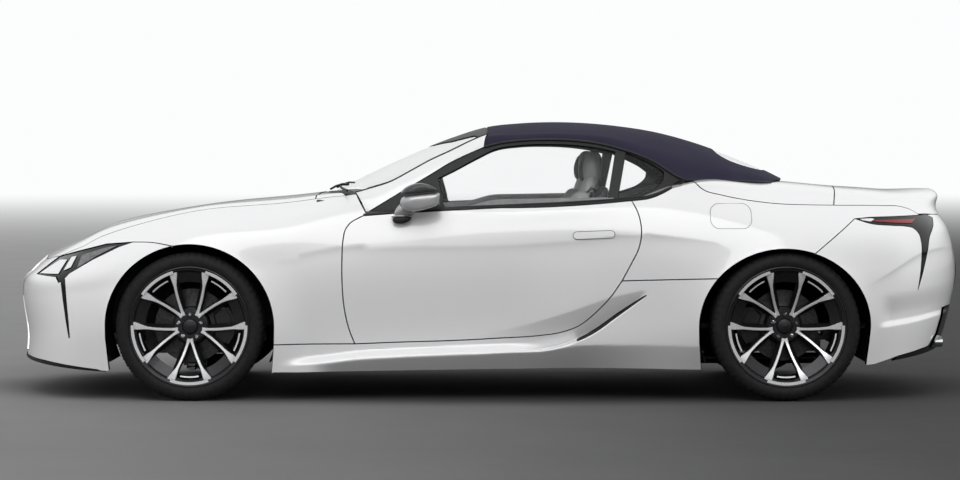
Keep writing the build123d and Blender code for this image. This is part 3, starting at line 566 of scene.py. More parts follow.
def far_from(points, others, distance):
    """Which points lie further than distance from all the others, worked out in chunks to save memory."""
    gaps = [((points[i:i + 2000, None, :] - others[None, :, :]) ** 2).sum(2).min(1)
            for i in range(0, len(points), 2000)]
    return np.concatenate([*gaps, []]) > distance**2


def mesh_outline(loops, creases, step):
    """Triangles inside the first loop and outside the others: (u, v) places, faces and the loops' point numbers."""
    def within(points):
        return inside(loops[0], points) & ~np.any([inside(hole, points) for hole in loops[1:]], axis=0)

    ends = zip(loops[0].min(0), loops[0].max(0))
    grid = np.meshgrid(*(np.arange(low + step / 2, high, step) for low, high in ends))
    fill = np.stack([axis.ravel() for axis in grid], axis=1)
    fill = fill[within(fill)]
    edges = np.concatenate([resample(np.vstack([loop, loop[:1]]), step * 0.45)[:-1] for loop in loops])
    fill = fill[far_from(fill, edges, step * 0.55)]
    lines = []
    for crease in creases:
        room = inside(loops[0], crease) & far_from(crease, edges, step * 0.25)
        lines += [crease[a:b] for a, b in runs_of(room)]
    if lines:
        fill = fill[far_from(fill, np.concatenate(lines), step * 0.35)]
    constraint, numbers, start = [], [], 0
    for points in [*loops, *lines]:
        ids = np.arange(start, start + len(points))
        start += len(points)
        pairs = list(zip(ids.tolist(), np.roll(ids, -1).tolist()))
        closed = len(numbers) < len(loops)
        constraint += pairs if closed else pairs[:-1]
        numbers.append(ids)
    coords = np.concatenate([*loops, *lines, fill])
    found, _, faces, sources, _, _ = delaunay_2d_cdt([Vector(c) for c in coords], constraint, [], 0, 1e-7)
    uv = np.array([(c.x, c.y) for c in found])
    where = np.zeros(len(coords), int)
    for new, old in enumerate(sources):
        where[list(old)] = new
    keep = within(np.array([uv[list(face)].mean(0) for face in faces]))
    faces = [list(face) for face, kept in zip(faces, keep) if kept]
    return uv, faces, [where[ids] for ids in numbers[:len(loops)]]


def panel(name, outline, material, body="car_body", slot=None, nodes=(), sheet=BODY, side="both", gap=panel_gap,
          depth=0.014, closed=False, step=0.020, lift=0.0, holes=(), creases=()):
    """Cut a panel from a sheet: gap at its edges, a rolled hem, a flange of the given depth and,
    if closed, a back face. side is left, right, both (two mirrored halves in one piece) or centre."""
    inset = gap / 2 + hem
    loops = [shrink(outline, inset, sheet)] + [shrink(hole, -inset, sheet)[::-1] for hole in holes]
    uv, faces, loop_ids = mesh_outline(loops, creases, step)
    points, normals = sheet.frame_of(uv[:, 0], uv[:, 1])
    points = points + normals * lift
    skin_count, offset = len(faces), len(points)
    verts, norms, rim_of = [points], [normals], {}
    rings = ((0.7 * hem, 0.3 * hem, 0.7), (hem, hem, 1.0), (hem, depth, 1.0))  # out, down, turn of the normal
    for ids in loop_ids:
        base, up = points[ids], normals[ids]
        on_plane = on_centre(uv[ids], sheet)
        out = unit(-np.cross(unit(np.roll(base, -1, axis=0) - np.roll(base, 1, axis=0)), up))
        out[on_plane, 1] = 0
        out = unit(out)
        hemmed = np.flatnonzero(~(on_plane & np.roll(on_plane, -1)))
        last = ids
        for out_by, down_by, lean in rings:
            verts.append(base + out * out_by - up * down_by)
            norms.append(unit(up * (1 - lean) + out * lean))
            new = np.arange(offset, offset + len(ids))
            offset += len(ids)
            for i in hemmed:
                k = (i + 1) % len(ids)
                faces.append([last[i], last[k], new[k], new[i]])
            last = new
        rim_of.update(zip(ids.tolist(), last.tolist()))
    verts, norms = np.concatenate(verts), np.concatenate(norms)
    # The outline runs counter-clockwise in (u, v), which faces inwards on this half, so the faces are turned over.
    turned_over = [face[::-1] for face in faces]
    if closed:
        turned_over += [[rim_of.get(i, len(verts) + i) for i in face] for face in faces[:skin_count]]
        verts, norms = np.concatenate([verts, points - normals * depth]), np.concatenate([norms, -normals])
    faces = turned_over
    if side == "left":
        verts, norms, faces = verts * MIRROR, norms * MIRROR, [face[::-1] for face in faces]
    elif side != "right":
        middle = np.flatnonzero(np.abs(verts[:, 1]) < 2.5e-4) if side == "centre" else np.arange(0)
        verts[middle, 1] = norms[middle, 1] = 0.0
        twin = {i: i for i in middle.tolist()}
        faces += [[twin.get(int(i), int(i) + len(verts)) for i in face[::-1]] for face in faces]
        verts, norms = (np.concatenate([half, half * MIRROR]) for half in (verts, norms))
    used = np.zeros(len(verts), bool)
    used[np.concatenate(faces)] = True
    renumber = np.cumsum(used) - 1
    obj = add_piece(name, verts[used], [renumber[face] for face in faces], material, body, slot, nodes=nodes)
    if len(obj.data.vertices) == used.sum():
        obj.data.normals_split_custom_set_from_vertices([tuple(n) for n in unit(norms[used])])
    return obj


# ---------------------------------------------------------------- the upper body's surface
# Columns: x, then (half width, height) of the glass foot and of the shoulder, and the height at the centre line.
UPPER_SECTIONS = (
    (-0.790, 0.812, 0.880, 0.720, 0.950, 1.003),
    (-0.656, 0.812, 0.895, 0.705, 0.998, 1.069),
    (-0.400, 0.812, 0.900, 0.700, 1.096, 1.187),
    (-0.196, 0.812, 0.900, 0.660, 1.198, 1.269),
    (-0.008, 0.812, 0.900, 0.635, 1.258, 1.326),
    (0.142, 0.812, 0.900, 0.640, 1.262, 1.343),
    (0.312, 0.812, 0.900, 0.640, 1.266, 1.350),
    (0.652, 0.812, 0.910, 0.640, 1.232, 1.330),
    (0.862, 0.812, 0.930, 0.650, 1.150, 1.296),
    (1.012, 0.812, 0.950, 0.655, 1.075, 1.256),
    (1.222, 0.790, 0.950, 0.640, 1.058, 1.182),
    (1.402, 0.700, 0.950, 0.470, 1.050, 1.106),
    (1.492, 0.600, 0.950, 0.260, 1.040, 1.062),
)
UPPER_KNOTS = (0.0, 0.40, 0.58, 0.80, 1.10)


def upper_point(u, v):
    """Points of the windscreen and roof surface, one half."""
    u, v = np.atleast_1d(u).astype(float), np.atleast_1d(v).astype(float)
    table = np.array(UPPER_SECTIONS)
    foot_y, foot_z, y, z, top = hermite(table[:, 0], table[:, 1:], u).T
    rows = np.array([[foot_y, foot_z], [y, z], [y * 0.86, z + (top - z) * 0.38], [y * 0.52, z + (top - z) * 0.80],
                     [np.zeros_like(y), top]]).swapaxes(1, 2)
    across, height = hermite(UPPER_KNOTS, rows, v, last=np.array([1.0, 0.0]), own=True).T
    foot = np.exp(-((u + 0.635) / 0.055)**2 - ((height - 0.975) / 0.040)**2)  # clears the frame's corner below
    return np.stack([u, across + 0.013 * foot, height], axis=1)


def upper_frame(u, v, h=0.0015):
    """Points with their outward normals."""
    u, v = np.asarray(u, float), np.asarray(v, float)
    v0, v1 = np.clip(v - h, 0, UPPER_KNOTS[-1] - 2 * h), np.clip(v + h, 2 * h, UPPER_KNOTS[-1])
    du = upper_point(u + h, v) - upper_point(u - h, v)
    dv = upper_point(u, v1) - upper_point(u, v0)
    return upper_point(u, v), unit(-np.cross(du, dv))


UPPER = Sheet(upper_point, upper_frame, (-0.79, 1.492), (0.0, UPPER_KNOTS[-1]), count=(460, 120))


# ---------------------------------------------------------------- panel outlines, in side view unless noted
def on_side(points, v_high=0.97):
    return BODY.at(curve(points), v_high)


def straight_on_side(points, step=outline_step):
    return BODY.at(resample(points, step))


def arch_place(axle, degrees):
    return tuple(arch_curve(axle, degrees, degrees)[0])


bumper_angle = 101.0
skirt_angle = 141.5
tail_angle = 70.0
FRONT_CUT = on_side(((-0.613, 0.890), (-0.640, 0.877), (-0.675, 0.856), (-0.699, 0.822), (-0.709, 0.774),
                     (-0.714, 0.678), (-0.714, 0.582), (-0.709, 0.486), (-0.694, 0.389), (-0.675, 0.322),
                     (-0.654, 0.271)))
DOOR_FOOT = on_side(((-0.654, 0.271), (-0.435, 0.279), (-0.194, 0.286), (0.047, 0.298), (0.239, 0.310),
                     (0.335, 0.324), (0.432, 0.360), (0.489, 0.404), (0.528, 0.442), (0.576, 0.495),
                     (0.634, 0.578)))
REAR_CUT = on_side(((0.634, 0.578), (0.682, 0.668), (0.711, 0.726), (0.724, 0.774), (0.727, 0.822),
                    (0.721, 0.871), (0.706, 0.919), (0.684, 0.961)))
BELT_LINE = ((-0.613, 0.890), (-0.436, 0.903), (-0.257, 0.913), (0.047, 0.927), (0.337, 0.940), (0.684, 0.961))
BELT = on_side(BELT_LINE, v_high=0.93)
WING_BELT_LINE = ((0.684, 0.961), (0.772, 0.973), (0.820, 0.990), (0.869, 1.014), (0.917, 1.040), (0.950, 1.053))
WING_BELT = on_side(WING_BELT_LINE, v_high=1.23)
PILLAR_CUT = straight_on_side(((-0.652, 0.992), (-0.599, 0.901)))
FENDER_FOOT = straight_on_side(((-1.043, 0.271), (-0.654, 0.271)))
SKIRT_LINE = straight_on_side(((0.634, 0.578), arch_place("rear", skirt_angle)))
BUMPER_CUT = on_side(((-1.727, 0.763), (-1.630, 0.762), arch_place("front", bumper_angle)))
TAIL_CUT = straight_on_side((arch_place("rear", tail_angle), (1.763, 0.875)))
COVER_CUT = on_side(((0.990, 1.058), (1.005, 1.040), (1.030, 1.018), (1.128, 0.988), (1.226, 0.968), (1.324, 0.954),
                     (1.422, 0.945), (1.550, 0.941), (1.672, 0.939)), v_high=1.23)
LID_CUT = on_side(((1.672, 0.939), (1.913, 0.936), (2.005, 0.932), (2.065, 0.915), (2.105, 0.893)))
LAMP_TOP = straight_on_side(((-1.727, 0.763), (-1.863, 0.752), (-2.007, 0.716), (-2.120, 0.686)))
LAMP_NOSE = straight_on_side(((-2.120, 0.686), (-2.235, 0.598)))
LAMP_FOOT = straight_on_side(((-2.235, 0.598), (-2.107, 0.594), (-2.090, 0.566), (-2.070, 0.575), (-2.034, 0.612),
                              (-1.924, 0.677), (-1.796, 0.739), (-1.727, 0.763)))
TAIL_TOP = straight_on_side(((1.763, 0.875), (1.840, 0.882), (2.105, 0.888)))
TAIL_FOOT = on_side(((2.069, 0.527), (2.082, 0.600), (2.093, 0.700), (2.093, 0.756), (2.083, 0.800), (2.055, 0.828),
                     (2.010, 0.838), (1.943, 0.842), (1.836, 0.852), (1.763, 0.875)))
TAIL_LEG = on_side(((2.190, 0.874), (2.183, 0.846), (2.144, 0.782), (2.130, 0.725), (2.103, 0.630), (2.069, 0.527)))


def arch_part(axle, start, end):
    return BODY.at(arch_curve(axle, start, end))


def bottom(x_from, x_to):
    """A run along the body's lower edge."""
    return flat((x_from, 0.0), (x_to, 0.0))


FRONT_BUMPER_ARCH = np.concatenate([
    straight_on_side(((-1.838, 0.146), (-1.851, 0.300), (-1.851, 0.357))), arch_part("front", 180, bumper_angle)])
FENDER_ARCH = np.concatenate([
    arch_part("front", bumper_angle, 0), straight_on_side(((-1.041, 0.357), (-1.043, 0.271)))])
ROCKER_FRONT = straight_on_side(((-1.043, 0.271), (-1.055, 0.132)))
ROCKER_REAR = np.concatenate([
    straight_on_side(((1.022, 0.141), (1.006, 0.280), (1.004, 0.357))), arch_part("rear", 180, skirt_angle)])
WING_ARCH = arch_part("rear", skirt_angle, tail_angle)
REAR_BUMPER_ARCH = np.concatenate([
    arch_part("rear", tail_angle, 0), straight_on_side(((1.828, 0.357), (1.823, 0.290), (1.810, 0.160)))])


def flat(*points):
    """A (u, v) polyline with its corners kept."""
    return resample(points, outline_step)


def soft(*points):
    """A smooth (u, v) curve."""
    return curve(points)


GRILLE_EDGE = np.concatenate([
    soft((U_START, 0.055), (U_START + 0.12, 0.055), (U_START + 0.235, 0.065)),
    soft((U_START + 0.235, 0.065), (U_START + 0.205, 0.20), (U_START + 0.135, 0.46), (U_START + 0.150, 0.70),
         (U_START + 0.200, 0.95), (U_START + 0.240, 1.18)),
    soft((U_START + 0.240, 1.18), (U_START + 0.12, 1.30), (U_START, 1.32)),
])
HOOD_FRONT = soft((U_START, 1.36), (U_START + 0.12, 1.34), (U_START + 0.30, 1.20), (U_START + 0.42, 1.06),
                  LAMP_TOP[-1])
DIFFUSER_TOP = np.concatenate([
    straight_on_side(((2.150, 0.246), (2.196, 0.306), (2.213, 0.370), (2.232, 0.429))),
    soft(BODY.at(((2.232, 0.429),))[0], (2.45, 0.232), (2.60, 0.225), (U_END, 0.225))])
# Edge between the tail lamps and the bumper, from the rear face to the leg.
TAIL_BACK = flat((2.40, 0.866), (2.30, 0.860), TAIL_LEG[0])
LID_BACK = flat((2.40, 0.866), (2.52, 0.862), (2.60, 0.70), (U_END, 0.66))


def crease_lines(points, rises, x_from=-9.0, x_to=9.0):
    """Lines along a smooth side-view line between two places, at several heights over it."""
    x = resample(points, 0.010)[:, 0]
    x = x[(x > x_from) & (x < x_to)]
    return [np.stack([x, line_height(points, x) + rise], axis=1) for rise in rises]


def side_creases():
    """Fold lines of the sill crest, the scoop and the tuck below it, for the mesh to follow."""
    lines = [*crease_lines(SILL_CREST, (-0.006, 0.0, 0.005, 0.010, scoop_wall + 0.001, 0.024), x_to=0.845),
             *crease_lines(SCOOP_TOP, (-0.006, 0.0, 0.006), x_from=0.0),
             *crease_lines(UNDER_LINE, (-0.005, 0.0, 0.005), x_from=0.43)]
    return [BODY.at(line[line[:, 1] - line_height(SILL_CREST, line[:, 0]) > -0.007]) for line in lines]


def tail_creases():
    """Fold lines of the ridge and the shelf on the rear bumper."""
    return [BODY.at(line) for line in (*crease_lines(REAR_RIDGE, (-0.030, -0.016, -0.007, 0.0, 0.006), x_to=2.24),
                                       *crease_lines(REAR_SHELF, (0.0, 0.010, 0.022, 0.035), x_to=2.24))]


def make_grille():
    """Crossed bars inside the grille opening and a bright frame around it."""
    edge_u, edge_v = GRILLE_EDGE.T
    side_run = (edge_u > U_START + 0.10) & (edge_v > 0.06)
    order = np.argsort(edge_v[side_run])
    edge_u, edge_v = edge_u[side_run][order], edge_v[side_run][order]

    def bar(name, us, vs, radius, lift):
        place, normal = skin_frame(us, vs)
        half = place + normal * lift
        if abs(half[0, 1]) < 0.001:
            paths = {name: sided(half[:0:-1], -1) + sided(half, 1)}
        else:
            paths = {f"{name}_{label}": sided(half, side) for side, label in side_names.items()}
        for label, path in paths.items():
            pipe(label, path, radius, "dark_alloy", "car_body", "black_trim", squash_by=(1.4, 0.8), sides=8)

    for row, v in enumerate(np.linspace(0.11, 1.26, 27)):
        us = np.linspace(U_START, np.interp(v, edge_v, edge_u) - 0.006, 12)
        bar(f"grille_bar_{row + 1}", us, np.full(12, v), 0.0032, -0.017)
    vs = np.linspace(0.085, 1.28, 50)
    reach = np.interp(vs, edge_v, edge_u) - U_START
    place, normal = skin_frame(U_START + reach * 0.0, vs)
    pipe("grille_upright_0", (place - normal * 0.020) * np.array([1, 0, 1]), 0.0026, "dark_alloy", "car_body",
         "black_trim", sides=8)
    for column in range(1, 5):
        bar(f"grille_upright_{column}", U_START + reach * (0.2, 0.4, 0.6, 0.8)[column - 1], vs, 0.0026, -0.020)
    place, normal = skin_frame(*GRILLE_EDGE.T)
    frame_line = place + normal * 0.0005
    frame_line[0, 1] = frame_line[-1, 1] = 0.0
    pipe("grille_frame", sided(frame_line[::-1], -1) + sided(frame_line[1:], 1), 0.0055, "chrome", "car_body",
         "black_trim", sides=10)


def make_body():
    paint = {"material": "white_paint", "slot": "body_paint"}
    centre = {"side": "centre"}
    folds = side_creases()
    lamp_corner, hood_corner = LAMP_TOP[-1], (-2.02, 0.905)
    fender = join_outline(
        FENDER_ARCH, FENDER_FOOT, FRONT_CUT[::-1], straight_on_side(((-0.613, 0.890), (-0.599, 0.901))),
        PILLAR_CUT[::-1], flat(PILLAR_CUT[0], (-0.700, 0.93)),
        flat(hood_corner, (-1.90, 0.93), (-0.700, 0.93))[::-1], flat(hood_corner, lamp_corner), LAMP_TOP[::-1],
        BUMPER_CUT)
    panel("front_fender_skins", fender, nodes=("front_fenders",), **paint)
    corner = flat((-0.851, 0.93), (-0.700, 0.93), (-0.735, 1.05), (-0.825, 1.35), (-0.845, 1.36), (-0.851, 0.93))
    panel("hood_corner_skins", join_outline(corner), gap=0.0012, **paint)
    hood = join_outline(
        HOOD_FRONT, flat(lamp_corner, hood_corner, (-1.90, 0.93), (-0.852, 0.93), (-0.854, 1.36), (-0.857, V_END),
                         (U_START, V_END), (U_START, 1.36)))
    panel("hood_skin", hood, body="hood", nodes=("hood",), depth=0.022, closed=True, gap=0.002, **centre, **paint)
    bumper = join_outline(
        bottom(U_START, -1.833), FRONT_BUMPER_ARCH, BUMPER_CUT[::-1], LAMP_FOOT[::-1], LAMP_NOSE[::-1],
        HOOD_FRONT[::-1], flat((U_START, 1.36), (U_START, 1.32)), GRILLE_EDGE[::-1],
        flat((U_START, 0.055), (U_START, 0.0)))
    panel("front_bumper_skin", bumper, nodes=("front_bumper",), **centre, **paint)
    door = join_outline(FRONT_CUT, DOOR_FOOT, REAR_CUT, BELT[::-1])
    for name in side_names.values():
        panel(f"door_skin_{name}", door, body=f"door_{name}", nodes=(f"door_{name}",), side=name, depth=0.085,
              closed=True, creases=folds, **paint)
    rocker = join_outline(ROCKER_FRONT, bottom(-1.056, 1.020), ROCKER_REAR, SKIRT_LINE[::-1], DOOR_FOOT[::-1],
                          FENDER_FOOT[::-1])
    panel("rocker_skins", rocker, nodes=("rocker_panels",), creases=folds, step=0.010, **paint)
    wing = join_outline(
        SKIRT_LINE, WING_ARCH, TAIL_CUT, TAIL_TOP, flat(TAIL_TOP[-1], LID_CUT[-1]), LID_CUT[::-1],
        COVER_CUT[::-1], flat(COVER_CUT[0], WING_BELT[-1]), WING_BELT[::-1], REAR_CUT[::-1])
    panel("rear_wing_skins", wing, nodes=("rear_wings",), creases=folds, **paint)
    cover = join_outline(
        COVER_CUT, flat(COVER_CUT[-1], (1.690, 1.16), (1.735, V_END), (1.36, V_END), (1.12, 1.40), (0.995, 1.30),
                        COVER_CUT[0]))
    panel("roof_cover_skin", cover, nodes=("soft_top_cover",), **centre, **paint)
    lid = join_outline(
        LID_CUT, flat(LID_CUT[-1], (2.30, 0.870), (2.40, 0.866)), LID_BACK,
        flat((U_END, 0.66), (U_END, V_END), (1.735, V_END), (1.690, 1.16), LID_CUT[0]))
    panel("boot_lid_skin", lid, body="boot_lid", nodes=("boot_lid",), depth=0.020, closed=True, **centre, **paint)
    tail = join_outline(
        REAR_BUMPER_ARCH, straight_on_side(((1.810, 0.160), (1.973, 0.211), (2.150, 0.246))), DIFFUSER_TOP,
        flat((U_END, 0.225), (U_END, 0.66)), LID_BACK[::-1], TAIL_BACK, TAIL_LEG, TAIL_FOOT, TAIL_CUT[::-1])
    panel("rear_bumper_skin", tail, nodes=("rear_bumper",), creases=tail_creases(), gap=0.0012, **centre, **paint)
    recess = flat((2.625, 0.330), (2.612, 0.490), (U_END, 0.490), (U_END, 0.330), (2.625, 0.330))
    panel("plate_recess", join_outline(recess), gap=0.0, depth=0.004, lift=0.0015, **centre, **TRIM)
    plate = flat((2.660, 0.350), (2.660, 0.470), (U_END, 0.470), (U_END, 0.350), (2.660, 0.350))
    panel("blank_plate", join_outline(plate), "shell_painted_shade_and_plate_grey", slot="black_trim", gap=0.0, depth=0.004, lift=0.0045,
          **centre)
    lamp = join_outline(TAIL_FOOT, TAIL_TOP, flat(TAIL_TOP[-1], (2.30, 0.870), (2.40, 0.866)), TAIL_BACK, TAIL_LEG)
    panel("tail_lamp_lenses", lamp, "black_gloss", slot="tail_lamp", nodes=("tail_lamps",), step=0.012, gap=0.002)
    diffuser = join_outline(DIFFUSER_TOP[::-1], straight_on_side(((2.150, 0.246), (1.973, 0.211))),
                            flat((1.98, 0.0), (U_END, 0.0), (U_END, 0.225)))
    panel("diffuser_skin", diffuser, gap=0.003, **centre, **TRIM)
    panel("headlamp_housings", join_outline(LAMP_TOP, LAMP_NOSE, LAMP_FOOT), "black_gloss", slot="headlamp",
          nodes=("headlamps",), gap=0.003, step=0.012, lift=-0.004)
    lip = join_outline(bottom(U_START, -1.845), flat((-1.845, 0.0), (-1.90, 0.012), (-2.30, 0.030), (U_START, 0.030),
                                                     (U_START, 0.0)))
    panel("front_lip", lip, gap=0.0, depth=0.008, lift=0.0025, **centre, **TRIM)
    make_grille()
    screen = join_outline(GRILLE_EDGE, flat((U_START, 1.32), (U_START, 0.055)))
    panel("grille_screen", screen, nodes=("front_grille",), lift=-0.028, gap=-0.006, **centre, **TRIM)


# ---------------------------------------------------------------- shapes for the smaller pieces
def grid_faces(rows, count, ring=False, tube=False):
    """Quads between rows of points; ring joins the last row to the first, tube joins each row's ends."""
    return [[i * count + k, i * count + (k + 1) % count, (i + 1) % rows * count + (k + 1) % count,
             (i + 1) % rows * count + k]
            for i in range(rows if ring else rows - 1) for k in range(count if tube else count - 1)]


def end_caps(rows, count):
    """Faces that close the first and the last row of a tube."""
    return [list(range(count))[::-1], list(range((rows - 1) * count, rows * count))]


def sided(points, side):
    """Right-hand points on the left (-1) or right (1) side."""
    return [(x, side * y, z) for x, y, z in points]


def full_turn(count):
    return (2 * math.pi * k / count for k in range(count))


def subdivide(obj, levels):
    smooth = obj.modifiers.new("smooth", "SUBSURF")
    smooth.levels = smooth.render_levels = levels


def lathe(name, profile, centre, side, material, body, slot, nodes=(), segments=96, closed=True, wave=None):
    """Revolve (out, radius) points about a wheel's axle; out is measured outwards from the centre."""
    verts = []
    for k, turn in enumerate(full_turn(segments)):
        for j, (out, radius) in enumerate(profile):
            r = radius - (wave(j, k) if wave else 0.0)
            verts.append((centre[0] + r * math.cos(turn), centre[1] + side * out, centre[2] + r * math.sin(turn)))
    faces = [face[::side] for face in grid_faces(segments, len(profile), ring=True, tube=closed)]
    fix_normals(add_piece(name, verts, faces, material, body, slot, nodes=nodes))


def fix_normals(obj, sharp=35, turn_out=True, weld=None):
    """Split shading at sharp edges, after welding close points or pointing the faces outwards where asked."""
    mesh = bmesh.new()
    mesh.from_mesh(obj.data)
    if weld:
        bmesh.ops.remove_doubles(mesh, verts=mesh.verts, dist=weld)
    if turn_out:
        bmesh.ops.recalc_face_normals(mesh, faces=mesh.faces)
    limit = math.radians(sharp)
    for edge in mesh.edges:
        paired = len(edge.link_faces) == 2
        edge.smooth = edge.calc_face_angle(0.0) < limit if paired else turn_out
    for face in mesh.faces:
        face.smooth = True
    mesh.to_mesh(obj.data)
    mesh.free()


def solid_prism(name, outline, y_from, y_to, material, body, slot, nodes=(), bevel=0.0):
    """A side-view outline extruded across the car, with its edges rounded."""
    count = len(outline)
    verts = [(x, y, z) for y in (y_from, y_to) for x, z in outline]
    faces = [list(range(count)), list(range(count, 2 * count))[::-1]]
    faces += [[i, i + count, (i + 1) % count + count, (i + 1) % count] for i in range(count)]
    obj = add_piece(name, verts, faces, material, body, slot, nodes=nodes)
    fix_normals(obj)
    rounding = obj.modifiers.new("rounding", "BEVEL")
    rounding.width, rounding.segments = bevel, 3
    rounding.limit_method, rounding.angle_limit = "ANGLE", math.radians(30)


def ribbon(name, rows, material, body, slot, nodes=()):
    """Skin a list of equal-length point rows."""
    verts = [tuple(p) for row in rows for p in row]
    obj = add_piece(name, verts, grid_faces(len(rows), len(rows[0])), material, body, slot, nodes=nodes)
    fix_normals(obj, 50)
    return obj


def pipe(name, path, radius, material, body, slot, nodes=(), squash_by=(1.0, 1.0), sides=12):
    """A round or flattened bar along a path of points."""
    path = [Vector(p) for p in path]
    wide, tall = squash_by
    verts = []
    for i, place in enumerate(path):
        ahead = (path[min(i + 1, len(path) - 1)] - path[max(i - 1, 0)]).normalized()
        across = ahead.cross(Vector((0, 0, 1)))
        if across.length < 0.1:
            across = ahead.cross(Vector((0, 1, 0)))
        across.normalize()
        up = across.cross(ahead).normalized()
        verts += [place + across * radius * wide * math.cos(a) + up * radius * tall * math.sin(a)
                  for a in full_turn(sides)]
    faces = grid_faces(len(path), sides, tube=True) + end_caps(len(path), sides)
    fix_normals(add_piece(name, verts, faces, material, body, slot, nodes=nodes), 50)


# ---------------------------------------------------------------- wheels
WHEELS = {
    "front": {"x": front_x, "y": 0.815, "half": 0.1225, "hub": 0.057, "disc": 0.178, "disc_depth": 0.075},
    "rear": {"x": rear_x, "y": 0.8175, "half": 0.1375, "hub": 0.095, "disc": 0.172, "disc_depth": 0.070},
}
tyre_radius = 0.357
groove_radius = 0.350
# A spoke's ends: degrees from the middle of its pair, and radius.
spoke_root, spoke_tip = (4, 0.060), (19.5, 0.2790)
spoke_steps = 14


def wheel_centre(spec, side):
    return spec["x"], side * spec["y"], wheel_z


def tyre(axle, side):
    spec = WHEELS[axle]
    half, name = spec["half"], side_names[side]
    tread = half - 0.026
    wall = ((-0.022, 0.268), (-0.014, 0.275), (-0.013, 0.2895), (-0.006, 0.294), (-0.003, 0.302), (0.0, 0.312),
            (-0.002, 0.326), (-0.008, 0.338), (-0.015, 0.347), (-0.024, 0.3528))
    right_part = [*((half + out, radius) for out, radius in wall), (tread - 0.004, 0.3560)]
    for groove in (tread * 0.62, tread * 0.20):
        right_part += [(groove + out, radius) for out, radius in (
            (0.006, tyre_radius), (0.005, groove_radius), (-0.005, groove_radius), (-0.006, tyre_radius))]
    profile = right_part + [(-out, radius) for out, radius in reversed(right_part)]
    shoulder = {i for i, (out, radius) in enumerate(profile) if radius > 0.345 and abs(out) > tread * 0.7}
    blocks = {i for i, (out, radius) in enumerate(profile) if radius > 0.354}

    def wave(j, k):
        if j in shoulder and k % 5 == 0:
            return 0.0045
        return 0.0025 if j in blocks and k % 5 == 2 else 0.0

    lathe(f"{axle}_tyre_skin_{name}", profile, wheel_centre(spec, side), side, "tyre_rubber",
          f"{axle}_wheel_{name}", "tyre_rubber", (f"{axle}_tyre_{name}",), segments=320, wave=wave)


def turned(spec, side, points):
    """Wheel points (degrees from the top towards the tail, radius, distance out) in the car's frame."""
    return [(spec["x"] + radius * math.sin(math.radians(angle)), side * (spec["y"] + out),
             wheel_z + radius * math.cos(math.radians(angle))) for angle, radius, out in points]


def spoke_strip(face_mid, face_out):
    """A spoke's centre line: sideways, up, half width, distance out and width of its flank at each step."""
    (ax, ay), (bx, by) = ((radius * math.sin(math.radians(angle)), radius * math.cos(math.radians(angle)))
                          for angle, radius in (spoke_root, spoke_tip))
    strip = []
    for t in (i / spoke_steps for i in range(spoke_steps + 1)):
        bow = 0.008 * math.sin(math.pi * t)
        half_width = 0.0042 + 0.0035 * smoothstep(0.12, 0.0, t) + 0.0130 * smoothstep(0.62, 1.0, t)
        strip.append((ax + (bx - ax) * t - bow, ay + (by - ay) * t, float(half_width),
                      face_mid + (face_out - face_mid) * float(smoothstep(0.0, 1.0, t)),
                      0.010 + 0.010 * math.sin(math.pi * min(1, t * 1.2))))
    return strip


def spoke_rows(strip, middle, lean):
    """Rows of (degrees, radius, out) across a spoke: its flank, its bright face and its other flank."""
    rows = []
    for i, (cx, cy, w, out, skirt) in enumerate(strip):
        (back_x, back_y, *_), (next_x, next_y, *_) = strip[max(i - 1, 0)], strip[min(i + 1, spoke_steps)]
        length = math.hypot(next_x - back_x, next_y - back_y)
        px, py = (next_y - back_y) / length, -(next_x - back_x) / length
        rows.append([])
        for across, down in ((-w - 0.5 * skirt, 0.034), (-w - 0.0025, 0.003), (-w, 0.0), (w, 0.0),
                             (w + 0.0025, 0.003), (w + skirt, 0.034)):
            x, y = (cx + px * across) * lean, cy + py * across
            rows[-1].append((middle + math.degrees(math.atan2(x, y)), math.hypot(x, y), out - down))
    return rows


def arc_steps(middle, half_angle, count):
    """The two angles of each step along an arc."""
    angles = [middle - half_angle + 2 * half_angle * i / count for i in range(count + 1)]
    return zip(angles, angles[1:])


def wheel_face(axle, side, lip, face_mid, face_out):
    """Five pairs of spokes with bright faces, the arcs that join them, and the dark web behind."""
    spec, name = WHEELS[axle], side_names[side]
    bright, dark = ([], []), ([], [])

    def add(points, part, over=False):
        verts, faces = part
        ids = list(range(len(verts), len(verts) + len(points)))
        verts.extend(turned(spec, side, points))
        faces.append(ids[::-1] if over != (side > 0) else ids)

    strip = spoke_strip(face_mid, face_out)
    for middle in range(36, 360, 72):
        for lean in (-1, 1):
            rows = spoke_rows(strip, middle, lean)
            for low, high in zip(rows, rows[1:]):
                for j in range(5):
                    add([low[j], low[j + 1], high[j + 1], high[j]], bright if 1 <= j <= 3 else dark, lean < 0)
        for inner, outer, half_angle, out in ((0.2660, 0.2870, 19.5, lip - 0.004),
                                              (0.2390, 0.2460, 10.5, face_out - 0.010)):
            for a0, a1 in arc_steps(middle, half_angle, 16):
                add([(a0, inner, out - 0.001), (a1, inner, out - 0.001), (a1, outer, out), (a0, outer, out)], bright)
                add([(a0, inner, out - 0.001), (a1, inner, out - 0.001), (a1, inner - 0.004, out - 0.040),
                     (a0, inner - 0.004, out - 0.040)], dark, True)
        for a0, a1 in arc_steps(middle + 36, 14.5, 10):
            add([(a0, 0.215, face_out - 0.034), (a1, 0.215, face_out - 0.034), (a1, 0.262, face_out - 0.012),
                 (a0, 0.262, face_out - 0.012)], dark)
    body = f"{axle}_wheel_{name}"
    pieces = [add_piece(f"{axle}_wheel_faces_{name}", *bright, "machined_alloy", body, "wheel_metal", smooth=False),
              add_piece(f"{axle}_wheel_flanks_{name}", *dark, "dark_alloy", body, "wheel_metal")]
    for piece in pieces:
        fix_normals(piece, 40, turn_out=False, weld=0.0002)


